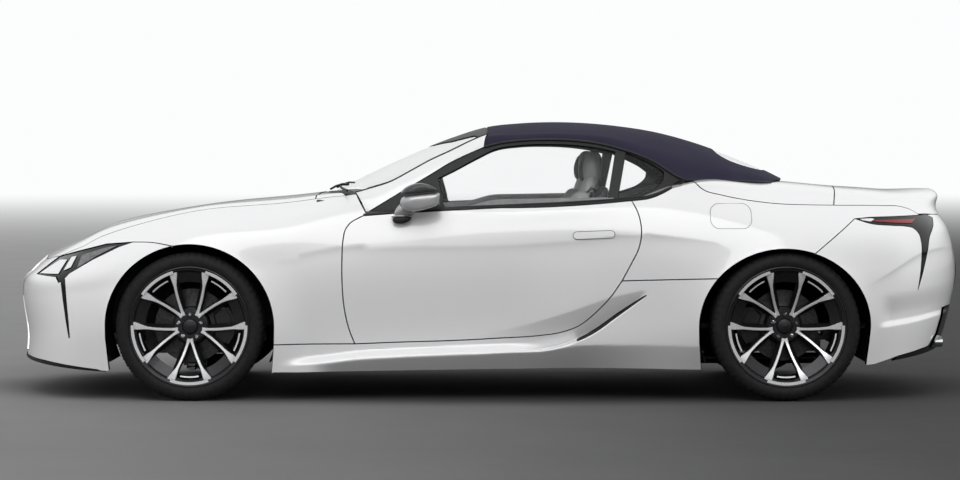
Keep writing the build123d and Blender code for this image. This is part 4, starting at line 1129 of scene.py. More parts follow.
def lug_nuts(axle, side, face_mid):
    spec, name = WHEELS[axle], side_names[side]
    verts, faces = [], []
    for k in range(5):
        a = math.radians(72 * k)
        cx, cz = spec["x"] + 0.058 * math.sin(a), wheel_z + 0.058 * math.cos(a)
        faces += [[len(verts) + i for i in face] for face in (*grid_faces(3, 6, tube=True), range(12, 18))]
        for out, radius in ((face_mid - 0.008, 0.0105), (face_mid + 0.005, 0.0105), (face_mid + 0.008, 0.007)):
            for b in (math.radians(60 * j) for j in range(6)):
                verts.append((cx + radius * math.cos(b), side * (spec["y"] + out), cz + radius * math.sin(b)))
    fix_normals(add_piece(f"{axle}_lug_nuts_{name}", verts, faces, "chrome", f"{axle}_wheel_{name}", "bare_steel"))


def brake(axle, side, disc_out):
    """A disc with its bell, and a fixed caliper of two halves and a bridge."""
    spec, name = WHEELS[axle], side_names[side]
    x_axle, r = spec["x"], spec["disc"]
    disc = [(disc_out + out, radius) for out, radius in (
        (0.0, r), (-0.001, r + 0.001), (-0.010, r + 0.001), (-0.010, r - 0.006), (-0.018, r - 0.006),
        (-0.018, r + 0.001), (-0.028, r), (-0.028, 0.100), (-0.010, 0.100), (0.030, 0.078), (0.034, 0.070),
        (0.034, 0.035), (0.040, 0.035), (0.040, 0.074), (0.034, 0.084), (0.002, 0.088), (0.0, 0.104))]
    lathe(f"{axle}_disc_skin_{name}", disc, wheel_centre(spec, side), side, "brake_steel", f"{axle}_wheel_{name}",
          "bare_steel", (f"{axle}_brake_disc_{name}",), 120)
    facing = 1 if axle == "front" else -1
    outline = []
    for radius, angle in ((0.118, -27), (0.122, 0), (0.118, 27), (0.170, 31), (0.205, 27), (0.216, 12), (0.218, 0),
                          (0.216, -12), (0.205, -27), (0.170, -31)):
        a = math.radians(angle)
        outline.append((x_axle + facing * radius * math.cos(a), wheel_z + radius * math.sin(a)))
    y_mid = side * (spec["y"] + disc_out - 0.014)
    finish = {"material": "caliper_paint", "slot": "caliper_paint",
              "body": f"knuckle_{name}" if axle == "front" else "car_body"}
    nodes = (f"front_caliper_{name}",) if axle == "front" else (("rear_calipers",) if side > 0 else ())
    for part, (low, high) in {"outer": (0.018, 0.042), "inner": (-0.050, -0.018)}.items():
        ends = sorted((y_mid + side * low, y_mid + side * high))
        solid_prism(f"{axle}_caliper_{part}_{name}", outline, *ends, bevel=0.007,
                    nodes=nodes if part == "outer" else (), **finish)
    bridge = [p for p in outline if math.hypot(p[0] - x_axle, p[1] - wheel_z) > 0.190]
    inner = [(x_axle + (x - x_axle) * 0.90, wheel_z + (z - wheel_z) * 0.90) for x, z in reversed(bridge)]
    solid_prism(f"{axle}_caliper_bridge_{name}", bridge + inner, y_mid - 0.046, y_mid + 0.040, bevel=0.004, **finish)


def wheel(axle, side):
    spec, name = WHEELS[axle], side_names[side]
    body, centre = f"{axle}_wheel_{name}", wheel_centre(spec, side)
    lip = spec["half"] - 0.008
    barrel = [(lip + out, radius) for out, radius in (
        (0.0, 0.2900), (0.001, 0.2870), (-0.004, 0.2810), (-0.014, 0.2740), (-0.030, 0.2560), (-0.060, 0.2500))]
    barrel += [(out - lip, radius) for out, radius in (
        (0.020, 0.2500), (0.008, 0.2620), (0.0, 0.2800), (0.0, 0.2855), (0.006, 0.2700), (0.022, 0.2560))]
    barrel += [(lip - 0.030, 0.2610), (lip - 0.008, 0.2720)]
    lathe(f"{axle}_rim_{name}", barrel, centre, side, "dark_alloy", body, "wheel_metal", (body,), 144)
    face_mid = lip - spec["hub"] + 0.012
    wheel_face(axle, side, lip, face_mid, lip - 0.012)
    cap = [(face_mid + out, radius) for out, radius in (
        (-0.050, 0.0), (-0.050, 0.090), (-0.016, 0.086), (-0.006, 0.074), (-0.006, 0.040), (-0.001, 0.036),
        (0.004, 0.032), (0.007, 0.020), (0.008, 0.0))]
    lathe(f"{axle}_wheel_hub_{name}", cap, centre, side, "dark_alloy", body, "wheel_metal", (), 60, False)
    lug_nuts(axle, side, face_mid)
    brake(axle, side, lip - spec["hub"] - spec["disc_depth"])


# ---------------------------------------------------------------- roof, glass and pillars
def on_upper(points, v_high=0.45, step=outline_step):
    return UPPER.at(curve(points, step), v_high)


def straight_on_upper(points):
    return UPPER.at(resample(points, outline_step), 0.45)


UPPER_END = UPPER_KNOTS[-1]
PILLAR_TOP = ((-0.656, 0.997), (-0.588, 1.017), (-0.490, 1.049), (-0.392, 1.100), (-0.294, 1.154), (-0.196, 1.200),
              (-0.099, 1.247), (-0.012, 1.284))
PILLAR_FOOT = ((-0.601, 0.900), (-0.440, 0.998), (-0.293, 1.085), (-0.196, 1.144), (-0.100, 1.190), (-0.030, 1.220))
ROOF_EDGE = ((-0.030, 1.220), (0.049, 1.239), (0.147, 1.251), (0.295, 1.256), (0.442, 1.249), (0.541, 1.235),
             (0.639, 1.210), (0.737, 1.176), (0.811, 1.142), (0.868, 1.105), (0.909, 1.078), (0.957, 1.056))
ROOF_FOOT = ((0.957, 1.056), (1.034, 1.057), (1.221, 1.050), (1.389, 1.043))
HEADER_X = -0.012


def make_upper():
    """The roof cloth, the screen with its pillars, the side windows and the strips around them."""
    centre, pillars = {"sheet": UPPER, "side": "centre"}, {"sheet": UPPER, "side": "both"}
    pillar_top, pillar_foot = on_upper(PILLAR_TOP, 0.60), on_upper(PILLAR_FOOT)
    roof_edge, roof_foot = on_upper(ROOF_EDGE), on_upper(ROOF_FOOT, 0.40)
    roof = join_outline(
        roof_edge, roof_foot, soft(roof_foot[-1], (1.455, 0.55), (1.480, 0.80), (1.490, UPPER_END)),
        flat((1.490, UPPER_END), (HEADER_X, UPPER_END), (HEADER_X, 0.56), roof_edge[0]))
    window_hole = soft((1.135, UPPER_END), (1.135, 0.96), (1.152, 0.82), (1.200, 0.745), (1.325, 0.735),
                       (1.380, 0.80), (1.400, 0.92), (1.405, UPPER_END))
    cloth = panel("soft_top_cloth", cut_from_centre(roof, window_hole), "roof_fabric", slot="roof_fabric",
                  nodes=("soft_top",), gap=0.0, depth=0.006, step=0.022, lift=0.001, **centre)
    pane = join_outline(window_hole, flat((1.405, UPPER_END), (1.135, UPPER_END)))
    panel("rear_pane", pane, "screen_glass", slot="glass", nodes=("rear_window",), gap=-0.010, depth=0.003,
          lift=-0.004, **centre)
    header = flat(pillar_top[-1], (HEADER_X - 0.008, UPPER_END))
    screen = join_outline(
        soft((-0.786, UPPER_END), (-0.776, 0.95), (-0.750, 0.80), (-0.700, 0.62), pillar_top[0]),
        pillar_top, header, flat(header[-1], (-0.786, UPPER_END)))
    panel("windscreen_pane", screen, "screen_glass", slot="glass", nodes=("windscreen",), gap=0.002, depth=0.004,
          lift=-0.002, **centre)
    seal = flat((HEADER_X - 0.026, 0.57), (HEADER_X + 0.012, 0.57), (HEADER_X + 0.012, UPPER_END),
                (HEADER_X - 0.026, UPPER_END), (HEADER_X - 0.026, 0.57))
    panel("header_seal", join_outline(seal), gap=0.0, depth=0.012, lift=-0.002, **centre, **TRIM)
    # A dark band over the top of the screen: partly the screen's shade band and partly a painted dark reflection, as
    # it is drawn wider than the real band.
    band_outline = join_outline(
        flat((-0.310, UPPER_END), (-0.290, 0.95), (-0.200, 0.75), (-0.080, 0.66), pillar_top[-4]), pillar_top[-4:],
        header, flat(header[-1], (-0.310, UPPER_END)))
    panel("screen_header_band", band_outline, gap=0.004, depth=0.003, lift=0.0012, **centre, **TRIM)
    pillar = join_outline(pillar_foot, flat(pillar_foot[-1], (HEADER_X - 0.004, 0.50), pillar_top[-1]),
                          pillar_top[::-1], flat(pillar_top[0], pillar_foot[0]))
    panel("pillar_skins", pillar, "white_paint", slot="body_paint", nodes=("windscreen_frame",), gap=0.001,
          depth=0.030, lift=0.004, step=0.014, **pillars)
    surround = join_outline(
        straight_on_upper(((-0.600, 0.901), (-0.205, 0.905), (0.047, 0.915), (0.337, 0.930), (0.684, 0.955))),
        on_upper(((0.684, 0.955), (0.772, 0.969), (0.820, 0.988), (0.869, 1.010), (0.917, 1.038), (0.957, 1.056))),
        roof_edge[::-1], pillar_foot[::-1])
    door_hole = join_outline(
        on_upper(((-0.253, 1.062), (-0.230, 0.978), (-0.217, 0.930), (-0.202, 0.918)), step=0.008),
        straight_on_upper(((-0.202, 0.918), (0.047, 0.922), (0.337, 0.937), (0.566, 0.952), (0.612, 1.198))),
        on_upper(((0.612, 1.198), (0.541, 1.214), (0.442, 1.228), (0.295, 1.235), (0.147, 1.230), (0.030, 1.212),
                  (-0.070, 1.164), (-0.170, 1.110), (-0.254, 1.068))),
        straight_on_upper(((-0.254, 1.068), (-0.253, 1.062))))
    quarter_hole = join_outline(
        straight_on_upper(((0.622, 0.972), (0.666, 1.194))),
        on_upper(((0.666, 1.194), (0.737, 1.164), (0.811, 1.126), (0.848, 1.098))),
        on_upper(((0.848, 1.098), (0.842, 1.060), (0.800, 1.020), (0.740, 0.996), (0.680, 0.980), (0.622, 0.972))))
    panel("window_surrounds", surround, nodes=("quarter_glass",), gap=0.001, depth=0.020, lift=0.001, step=0.014,
          holes=(door_hole, quarter_hole), **pillars, **TRIM)
    glass = {"material": "clear_glass", "slot": "glass", "sheet": UPPER, "gap": -0.014, "depth": 0.003, "step": 0.02}
    panel("quarter_panes", quarter_hole, lift=-0.005, **glass)
    for name in side_names.values():
        panel(f"door_pane_{name}", door_hole, body=f"door_{name}", nodes=(f"door_glass_{name}",), side=name,
              lift=-0.006, **glass)
    belt_strips("door", curve(BELT_LINE, 0.03), 0.93, ("door_left", "door_right"))
    belt_strips("wing", curve(WING_BELT_LINE, 0.02), 1.23, ("car_body", "car_body"))
    trims = {"screen_edge_trim": (pillar_top, 0.004, 0.0045, "black_trim", 8)}
    piping = UPPER.at(np.concatenate([curve(ROOF_EDGE, 0.02), curve(ROOF_FOOT, 0.03)[1:]]), 0.45)
    trims["roof_edge_piping"] = (piping, 0.003, 0.0065, "roof_fabric", 12)
    for label, (path, lift, radius, slot, sides) in trims.items():
        place, normal = upper_frame(*path.T)
        for side, name in side_names.items():
            pipe(f"{label}_{name}", sided(place + normal * lift, side), radius, "black_trim", "car_body", slot,
                 sides=sides)


def belt_strips(label, places, v_high, bodies):
    """Strips from the painted edge below the windows in to the glass."""
    outer, normal = skin_frame(*BODY.at(places, v_high).T)
    inner = upper_point(*UPPER.at(places + np.array([0, 0.004]), 0.45).T)
    tops = inner + np.array([0, 0.004, 0.012])
    rows = [outer - normal * 0.006, outer + normal * 0.001 + np.array([0, 0.0, 0.002]),
            outer + normal * 0.002 + np.array([0, -0.003, 0.008]), (outer + tops) / 2 + np.array([0, 0, 0.006]),
            tops, inner + np.array([0, -0.010, 0.004])]
    for (side, name), body in zip(side_names.items(), bodies):
        ribbon(f"belt_strip_{label}_{name}", [sided(row, side) for row in rows], "black_trim", body, "black_trim")


def cut_from_centre(outline, hole):
    """Notch an outline on the centre plane with a hole that opens there; both run along the same edge."""
    end = hole[:, 1].max()
    low_x, high_x = hole[0, 0], hole[-1, 0]
    on_edge = np.abs(outline[:, 1] - end) < 1e-6
    keep = ~(on_edge & (outline[:, 0] > low_x) & (outline[:, 0] < high_x))
    start = int(np.argmax(on_edge & keep & (outline[:, 0] >= low_x)))
    kept = [i for i in np.roll(np.arange(len(outline)), -start) if keep[i]]
    result, placed = [], False
    for a, b in zip(kept, kept[1:] + kept[:1]):
        result.append(outline[a])
        crosses = on_edge[a] and on_edge[b] and outline[a, 0] >= high_x - 1e-6 and outline[b, 0] <= low_x + 1e-6
        if crosses and not placed:
            result.extend(hole[::-1])
            placed = True
    return join_outline(np.array(result))


def puffed(name, outline, rows, material, body, slot, nodes=()):
    """A closed smooth form: a side-view outline at several (y, growth, slide back)."""
    outline = np.asarray(outline, float)
    cx, cz = outline.mean(0)
    side = 1 if rows[-1][0] > rows[0][0] else -1
    verts = [(cx + (x - cx) * grow + slide, y, cz + (z - cz) * grow) for y, grow, slide in rows for x, z in outline]
    size = len(rows), len(outline)
    faces = [cap[::-1] for cap in end_caps(*size)] + [face[::side] for face in grid_faces(*size, tube=True)]
    piece = add_piece(name, verts, faces, material, body, slot, nodes=nodes)
    fix_normals(piece, 60)
    subdivide(piece, 2)


# Door mirror outlines in side view.
MIRROR_CAP = ((-0.436, 0.994), (-0.430, 1.006), (-0.416, 1.026), (-0.374, 1.047), (-0.332, 1.052), (-0.290, 1.040),
              (-0.256, 1.022), (-0.246, 1.012), (-0.300, 1.005), (-0.380, 0.998))
MIRROR_SHELL = ((-0.434, 0.974), (-0.410, 0.990), (-0.314, 1.000), (-0.249, 1.006), (-0.244, 1.000), (-0.244, 0.956),
                (-0.258, 0.938), (-0.300, 0.926), (-0.362, 0.908), (-0.410, 0.912), (-0.440, 0.936))
MIRROR_ARM = ((-0.430, 0.955), (-0.390, 0.960), (-0.350, 0.930), (-0.362, 0.905), (-0.372, 0.890), (-0.470, 0.888),
              (-0.466, 0.905), (-0.450, 0.935))
MIRROR_FOOT = ((-0.475, 0.888), (-0.376, 0.890), (-0.380, 0.872), (-0.404, 0.854), (-0.450, 0.850), (-0.470, 0.860))
MIRROR_SEAM = ((-0.476, 0.887), (-0.374, 0.889), (-0.374, 0.893), (-0.476, 0.891))
MIRROR_PANE = ((-0.247, 0.945), (-0.247, 1.000), (-0.243, 1.000), (-0.243, 0.945))


def make_mirrors():
    """Door mirrors: a dark cap over a shell on an arm that stands on the door; shell and arm are white paint given
    grey as painted shade.
    """
    head = ((0.872, 0.80, 0.010), (0.880, 0.94, 0.004), (0.905, 1.0, 0.0), (0.960, 1.0, 0.002),
            (0.990, 0.94, 0.006), (1.004, 0.80, 0.014), (1.010, 0.55, 0.026))
    arm = ((0.850, 0.85, 0.0), (0.856, 1.0, 0.0), (0.900, 1.0, 0.0), (0.930, 0.92, 0.0))
    foot = ((0.845, 0.9, 0.0), (0.850, 1.02, 0.0), (0.918, 1.02, 0.0), (0.928, 0.85, 0.0))
    for side, name in side_names.items():
        body = f"door_{name}"
        for label, outline, across, material, slot, nodes in (
                ("shell", MIRROR_SHELL, head, "shell_painted_shade_and_plate_grey", "body_paint", (f"mirror_{name}",)),
                ("cap", MIRROR_CAP, head, "mirror_dark", "black_trim", ()),
                ("arm", MIRROR_ARM, arm, "shell_painted_shade_and_plate_grey", "body_paint", ()),
                ("foot", MIRROR_FOOT, foot, "black_trim", "black_trim", ())):
            rows = [(side * y, grow, slide) for y, grow, slide in across]
            puffed(f"mirror_{label}_{name}", outline, rows, material, body, slot, nodes)
        for label, outline, y_from, y_to, slot, bevel in (
                ("seam", MIRROR_SEAM, 0.850, 0.926, "black_trim", 0.001),
                ("pane", MIRROR_PANE, 0.890, 0.990, "glass", 0.0015)):
            ends = sorted((side * y_from, side * y_to))
            solid_prism(f"mirror_{label}_{name}", outline, *ends, "chrome", body, slot, bevel=bevel)


# Strip in a lamp panel: material, slot, lift off the skin and side-view outline.
LAMP_STRIPS = {
    "tail_light_strips": ("red_lens", "tail_lamp", 0.002, (
        (1.845, 0.861), (1.866, 0.869), (2.085, 0.872), (2.050, 0.850), (1.960, 0.853))),
    "tail_lamp_tips": ("chrome", "tail_lamp", 0.0015, (
        (1.785, 0.874), (1.800, 0.866), (1.840, 0.860), (1.862, 0.871), (1.850, 0.877))),
    "headlamp_strips": ("chrome", "headlamp", 0.0, (
        (-2.215, 0.602), (-2.105, 0.672), (-2.060, 0.675), (-2.095, 0.606))),
    "headlamp_reflectors": ("lamp_chrome", "headlamp", -0.001, (
        (-2.000, 0.636), (-1.985, 0.700), (-1.860, 0.738), (-1.800, 0.748), (-1.900, 0.698))),
    "headlamp_blades": ("machined_alloy", "headlamp", 0.0, (
        (-2.070, 0.622), (-2.040, 0.688), (-2.010, 0.694), (-2.030, 0.640))),
    "bumper_slits": ("black_gloss", "black_trim", 0.0015, (
        (-2.080, 0.585), (-2.054, 0.585), (-2.044, 0.470), (-2.036, 0.390), (-2.030, 0.300), (-2.037, 0.298),
        (-2.050, 0.380), (-2.062, 0.460))),
}


def rounded_slot(ends, levels, reach, rise, count, slope=0.0):
    """A side-view outline of quarter rounds about corners at the given ends and levels."""
    places = []
    for a in full_turn(count):
        cx, cz = ends[math.cos(a) > 0], levels[math.sin(a) > 0]
        places.append((cx + reach * math.cos(a), cz + slope * (cx - 0.50) + rise * math.sin(a)))
    return BODY.at(np.array(places))


def make_lamps():
    """Light strips and slits, the intake slots with their painted shade, the door handles and the fuel flap's gap."""
    for name, (material, slot, lift, outline) in LAMP_STRIPS.items():
        runs = straight_on_side([*outline, outline[0]], 0.006)
        panel(name, join_outline(runs[:-1]), material, slot=slot, gap=0.0, depth=0.004, step=0.01, lift=lift)
    # The intake slots: a black strip in the scoop's undercut wall, partly the intake's opening and partly painted
    # shade.
    along = np.linspace(0.418, 0.752, 40)
    floor = line_height(SILL_CREST, along) + 0.0015
    rise = 0.017 * np.sin(np.pi * np.clip((along - 0.40) / 0.36, 0, 1))**0.35
    intake = np.concatenate([np.stack([along, floor], 1), np.stack([along, floor + rise], 1)[::-1]])
    panel("intake_slots_with_painted_shade", join_outline(BODY.at(intake)), gap=0.0, depth=0.003, step=0.006, lift=0.0012, **TRIM)
    handle = rounded_slot((0.418, 0.579), (0.799, 0.799), 0.020, 0.018, 32, 0.040)
    edge, normal = skin_frame(handle[:, 0], handle[:, 1])
    path = edge + normal * 0.0012
    for side, name in side_names.items():
        panel(f"door_handle_{name}", join_outline(handle), "white_paint", f"door_{name}", slot="body_paint",
              side=name, gap=0.0, depth=0.004, lift=0.0045, step=0.008)
        pipe(f"door_handle_gap_{name}", sided([*path, path[0]], side), 0.0016, "black_trim", f"door_{name}",
             "black_trim", sides=6)
    flap = rounded_slot((1.105, 1.215), (0.874, 0.904), 0.045, 0.045, 48)
    edge, normal = skin_frame(flap[:, 0], flap[:, 1])
    path = edge + normal * 0.0002
    pipe("fuel_flap_gap", sided([*path, path[0]], -1), 0.0011, sides=6, **TRIM)


# ---------------------------------------------------------------- cabin
def pad(name, path, y_centre, material, slot, nodes=(), channels=0, lean=0.0):
    """A stuffed pad along a side-view path of (x, z, width, thickness), with rounded ends and sewn channels."""
    power, sides, end_length = 2.6, 28, 0.045
    path = np.asarray(path, float)
    knots = np.concatenate([[0], np.cumsum(np.linalg.norm(np.diff(path[:, :2], axis=0), axis=1))])
    total = knots[-1]
    places = np.concatenate([[0, 0.006, 0.018, 0.035], np.linspace(0.06, total - 0.06, max(6, 5 * channels + 6)),
                             [total - 0.035, total - 0.018, total - 0.006, total]])
    line = hermite(knots, path, places)
    ahead = hermite(knots, path[:, :2], places + 0.002) - hermite(knots, path[:, :2], places - 0.002)
    verts = []
    for place, (x, z, width, thick), tangent in zip(places, line, ahead):
        end = min(place, total - place)
        rounding = math.sqrt(max(0.0, 1 - (1 - min(1.0, end / end_length)) ** 2)) * 0.75 + 0.25
        sewn = 1.0
        if channels and end > 0.05:
            sewn -= 0.16 * abs(math.cos(math.pi * channels * place / total)) ** 10
        tangent = tangent / np.linalg.norm(tangent)
        for a in full_turn(sides):
            bulge, height = (math.copysign(abs(f(a)) ** (2 / power), f(a)) for f in (math.cos, math.sin))
            across = bulge * width / 2 * (0.45 + 0.55 * rounding)
            lift = height * thick / 2 * rounding * sewn + lean * across
            verts.append((x - tangent[1] * lift, y_centre + across, z + tangent[0] * lift))
    faces = grid_faces(len(line), sides, tube=True) + end_caps(len(line), sides)
    obj = add_piece(name, verts, faces, material, "car_body", slot, nodes=nodes)
    fix_normals(obj, 75)
    subdivide(obj, 1)


# A seat's pads: centre line of (x, z, width, thickness), whether dark, and channels.
SEAT_PADS = {
    "seat_cushion": (((-0.190, 0.425, 0.30, 0.10), (0.00, 0.435, 0.31, 0.105), (0.20, 0.415, 0.31, 0.10),
                      (0.33, 0.410, 0.30, 0.09)), "interior_dark", 5),
    "seat_back": (((0.345, 0.440, 0.30, 0.10), (0.400, 0.640, 0.31, 0.105), (0.445, 0.840, 0.30, 0.10),
                   (0.480, 0.985, 0.27, 0.09)), "interior_dark", 5),
    "seat_shoulder": (((0.468, 0.935, 0.44, 0.085), (0.500, 1.040, 0.38, 0.080), (0.515, 1.090, 0.26, 0.07)),
                      "seat_leather", 0),
    "headrest": (((0.512, 1.035, 0.235, 0.090), (0.510, 1.115, 0.250, 0.100), (0.520, 1.203, 0.215, 0.085)),
                 "seat_leather", 0),
    "headrest_inset": (((0.470, 1.050, 0.11, 0.045), (0.470, 1.110, 0.12, 0.050), (0.482, 1.180, 0.10, 0.040)),
                       "interior_dark", 0),
}
CUSHION_BOLSTER = ((-0.200, 0.425, 0.085, 0.11), (0.00, 0.445, 0.10, 0.14), (0.20, 0.435, 0.10, 0.15),
                   (0.34, 0.430, 0.09, 0.13))
BACK_BOLSTER = ((0.310, 0.470, 0.09, 0.13), (0.365, 0.640, 0.10, 0.16), (0.420, 0.840, 0.10, 0.14),
                (0.470, 1.000, 0.08, 0.10))
SEAT_SHELL = ((0.40, 0.30), (0.43, 0.50), (0.50, 0.80), (0.545, 1.00), (0.575, 1.03), (0.590, 1.00), (0.560, 0.80),
              (0.500, 0.50), (0.470, 0.30))
SEAT_BASE = ((-0.160, 0.215), (-0.190, 0.385), (0.38, 0.375), (0.42, 0.215))


def make_seats():
    """Two seats with bolsters, headrests, shells and belts."""
    for side, name in side_names.items():
        y = side * 0.370
        for label, (path, material, channels) in SEAT_PADS.items():
            if label == "seat_shoulder":
                for lean, part in ((-1, "outer"), (1, "inner")):
                    pad(f"seat_cushion_bolster_{part}_{name}", CUSHION_BOLSTER, y + lean * 0.198, "seat_leather",
                        "seat_leather", lean=0.25 * lean)
                    pad(f"seat_back_bolster_{part}_{name}", BACK_BOLSTER, y + lean * 0.198, "seat_leather",
                        "seat_leather", lean=-0.2 * lean)
            nodes = ("seats",) if label == "seat_cushion" and side < 0 else ()
            pad(f"{label}_{name}", path, y, material, "seat_leather", nodes, channels)
        solid_prism(f"seat_shell_{name}", SEAT_SHELL, y - 0.20, y + 0.20, bevel=0.018, **PLASTIC)
        solid_prism(f"seat_base_{name}", SEAT_BASE, y - 0.21, y + 0.21, bevel=0.012, **PLASTIC)
        guide = ((0.52, 0.16, 1.005), (0.50, 0.20, 1.02), (0.47, 0.205, 0.99), (0.46, 0.20, 0.94))
        belt = ((0.50, 0.24, 1.00), (0.47, 0.225, 0.86), (0.40, 0.235, 0.62), (0.34, 0.245, 0.42))
        for label, path, radius, tall in (("belt_guide", guide, 0.012, 0.6), ("seat_belt", belt, 0.022, 0.08)):
            pipe(f"{label}_{name}", [(x, y + side * out, z) for x, out, z in path], radius, squash_by=(1.0, tall),
                 **PLASTIC)


# Inside of a door: x and the height of the card's foot.
CARD_FOOT = ((-0.560, 0.305), (0.047, 0.325), (0.239, 0.340), (0.335, 0.355), (0.432, 0.392), (0.489, 0.436),
             (0.528, 0.474), (0.576, 0.527), (0.634, 0.590))


def make_dashboard():
    """A dashboard that rises over the driver's dials, with a screen and vents."""
    rows = []
    for y in np.linspace(-0.755, 0.755, 61):
        dials = math.exp(-((y + 0.370) / 0.16) ** 4)
        roll = 0.02 * (y / 0.75) ** 2
        profile = (
            (-0.820, 0.660), (-0.820, 0.885 - roll), (-0.700, 0.903 - roll), (-0.600, 0.900 - roll + 0.015 * dials),
            (-0.520, 0.888 - roll + 0.030 * dials), (-0.470, 0.872 - roll + 0.034 * dials),
            (-0.452, 0.850 - roll + 0.030 * dials), (-0.470, 0.826 - roll), (-0.520, 0.815 - roll),
            (-0.490, 0.785 - roll), (-0.440, 0.760), (-0.440, 0.730), (-0.480, 0.700), (-0.530, 0.660))
        rows.append([(x, y, z) for x, z in profile])
    subdivide(ribbon("dashboard_skin", rows, nodes=("dashboard",), **PLASTIC), 1)
    screen = ((-0.520, 0.892), (-0.500, 0.892), (-0.474, 0.800), (-0.494, 0.800))
    solid_prism("centre_screen", screen, -0.155, 0.155, "black_gloss", "car_body", "interior_plastic", bevel=0.004)
    vent = ((-0.472, 0.742), (-0.436, 0.748), (-0.430, 0.730), (-0.472, 0.722))
    for y, label in (
            (-0.62, "nearer_end"), (-0.15, "nearer_middle"), (0.15, "farther_middle"), (0.62, "farther_end")):
        solid_prism(f"air_vent_{label}", vent, y - 0.055, y + 0.055, "chrome", "car_body", "interior_plastic",
                    bevel=0.003)


def make_console():
    """The centre console with its armrest and shift lever."""
    console = ((-0.560, 0.206), (-0.600, 0.640), (-0.500, 0.690), (-0.420, 0.620), (-0.300, 0.570), (0.020, 0.560),
               (0.050, 0.600), (0.400, 0.605), (0.440, 0.570), (0.500, 0.540), (0.520, 0.206))
    solid_prism("console_skin", console, -0.108, 0.108, nodes=("console",), bevel=0.014, **PLASTIC)
    pad("armrest", ((0.060, 0.622, 0.18, 0.05), (0.22, 0.628, 0.185, 0.055), (0.390, 0.624, 0.18, 0.05)), 0.0,
        "seat_leather", "seat_leather")
    pipe("shift_lever", [(-0.190, 0.0, 0.570), (-0.195, 0.0, 0.620), (-0.200, 0.0, 0.655)], 0.013, "chrome",
         "car_body", "interior_plastic")
    pad("shift_knob", ((-0.225, 0.665, 0.045, 0.045), (-0.200, 0.672, 0.05, 0.055), (-0.160, 0.668, 0.045, 0.045)),
        0.0, "interior_dark", "interior_plastic")


def trim_both(name, rows, bodies):
    """A grey trim on each side of the cabin."""
    for (side, label), body in zip(side_names.items(), bodies):
        ribbon(f"{name}_{label}", [sided(row, side) for row in rows], "interior_grey", body, "interior_plastic")


def make_door_cards():
    wide = 0.758
    rows = []
    for x in np.linspace(-0.56, 0.60, 30):
        top = 0.918 + 0.020 * (x + 0.56) / 1.16 + 0.040 * float(smoothstep(-0.16, 0.04, x))
        foot = float(np.interp(x, *zip(*CARD_FOOT)))
        rows.append([(x, y, z) for y, z in (
            (wide, foot), (wide - 0.004, (foot + 0.60) / 2), (wide - 0.010, 0.60), (wide - 0.045, 0.655),
            (wide - 0.050, 0.680), (wide - 0.020, 0.700), (wide - 0.010, 0.80), (wide - 0.006, top - 0.040),
            (wide + 0.004, top - 0.008), (wide + 0.016, top), (wide + 0.034, top - 0.006),
            (wide + 0.040, top - 0.030))])
    trim_both("door_card", rows, ("door_left", "door_right"))


def make_quarter_trims():
    """Padded trims inside the quarter windows."""
    rows = []
    for x in np.linspace(0.62, 0.93, 14):
        top = 0.968 + 0.072 * float(smoothstep(0.66, 0.93, x))
        rows.append([(x, y, z) for y, z in ((0.770, 0.80), (0.766, top - 0.06), (0.762, top - 0.015), (0.770, top),
                                            (0.786, top - 0.002), (0.792, top - 0.03))])
    trim_both("quarter_trim", rows, ("car_body", "car_body"))


def make_steering_wheel():
    """Rim, three spokes and boss about the column's axis."""
    tilt = math.radians(25)
    axis = Vector((math.cos(tilt), 0, math.sin(tilt)))
    up = Vector((-math.sin(tilt), 0, math.cos(tilt)))
    centre = Vector((-0.230, -0.370, 0.800))

    def around(a):
        return Vector((0, 1, 0)) * math.cos(a) + up * math.sin(a)

    ring = [centre + around(2 * math.pi * k / 64) * 0.180 for k in range(65)]
    finish = {"body": "steering_wheel", "slot": "interior_plastic"}
    pipe("steering_rim", ring, 0.0145, "interior_dark", nodes=("steering_wheel",), sides=16, **finish)
    for angle, name in ((0, "left"), (180, "right"), (270, "low")):
        reach = around(math.radians(angle))
        pipe(f"steering_spoke_{name}", [centre - axis * 0.012 + reach * 0.03, centre - axis * 0.010 + reach * 0.10,
                                        centre + reach * 0.176], 0.020, "interior_grey",
             squash_by=(0.45, 1.0) if name == "low" else (1.0, 0.45), **finish)
    boss = [[centre + axis * out + around(a) * radius for a in np.linspace(0, 2 * math.pi, 41)]
            for out, radius in ((-0.050, 0.035), (-0.045, 0.058), (-0.010, 0.064), (0.002, 0.052), (0.006, 0.030),
                                (0.007, 0.0001))]
    ribbon("steering_boss", boss, "interior_dark", **finish)


def make_wheel_housings():
    for axle, spec in WHEELS.items():
        def arc(radius, y, start, end, count):
            return [(spec["x"] + radius * math.cos(a), y, wheel_z + radius * math.sin(a))
                    for a in np.radians(np.linspace(start, end, count))]

        liner = [arc(radius, y, -24, 204, 60) for radius, y in (
            (0.425, 0.470), (0.425, 0.600), (0.425, 0.750), (0.425, 0.880), (0.418, 0.900))]
        wall = [arc(radius, y, -8, 188, 50) for radius, y in (
            (0.426, 0.470), (0.30, 0.455), (0.17, 0.450), (0.13, 0.440))]
        for side, name in side_names.items():
            for label, rows in (("housing", liner), ("housing_wall", wall)):
                ribbon(f"{axle}_wheel_{label}_{name}", [sided(row, side) for row in rows], "liner", "car_body",
                       "underbody")


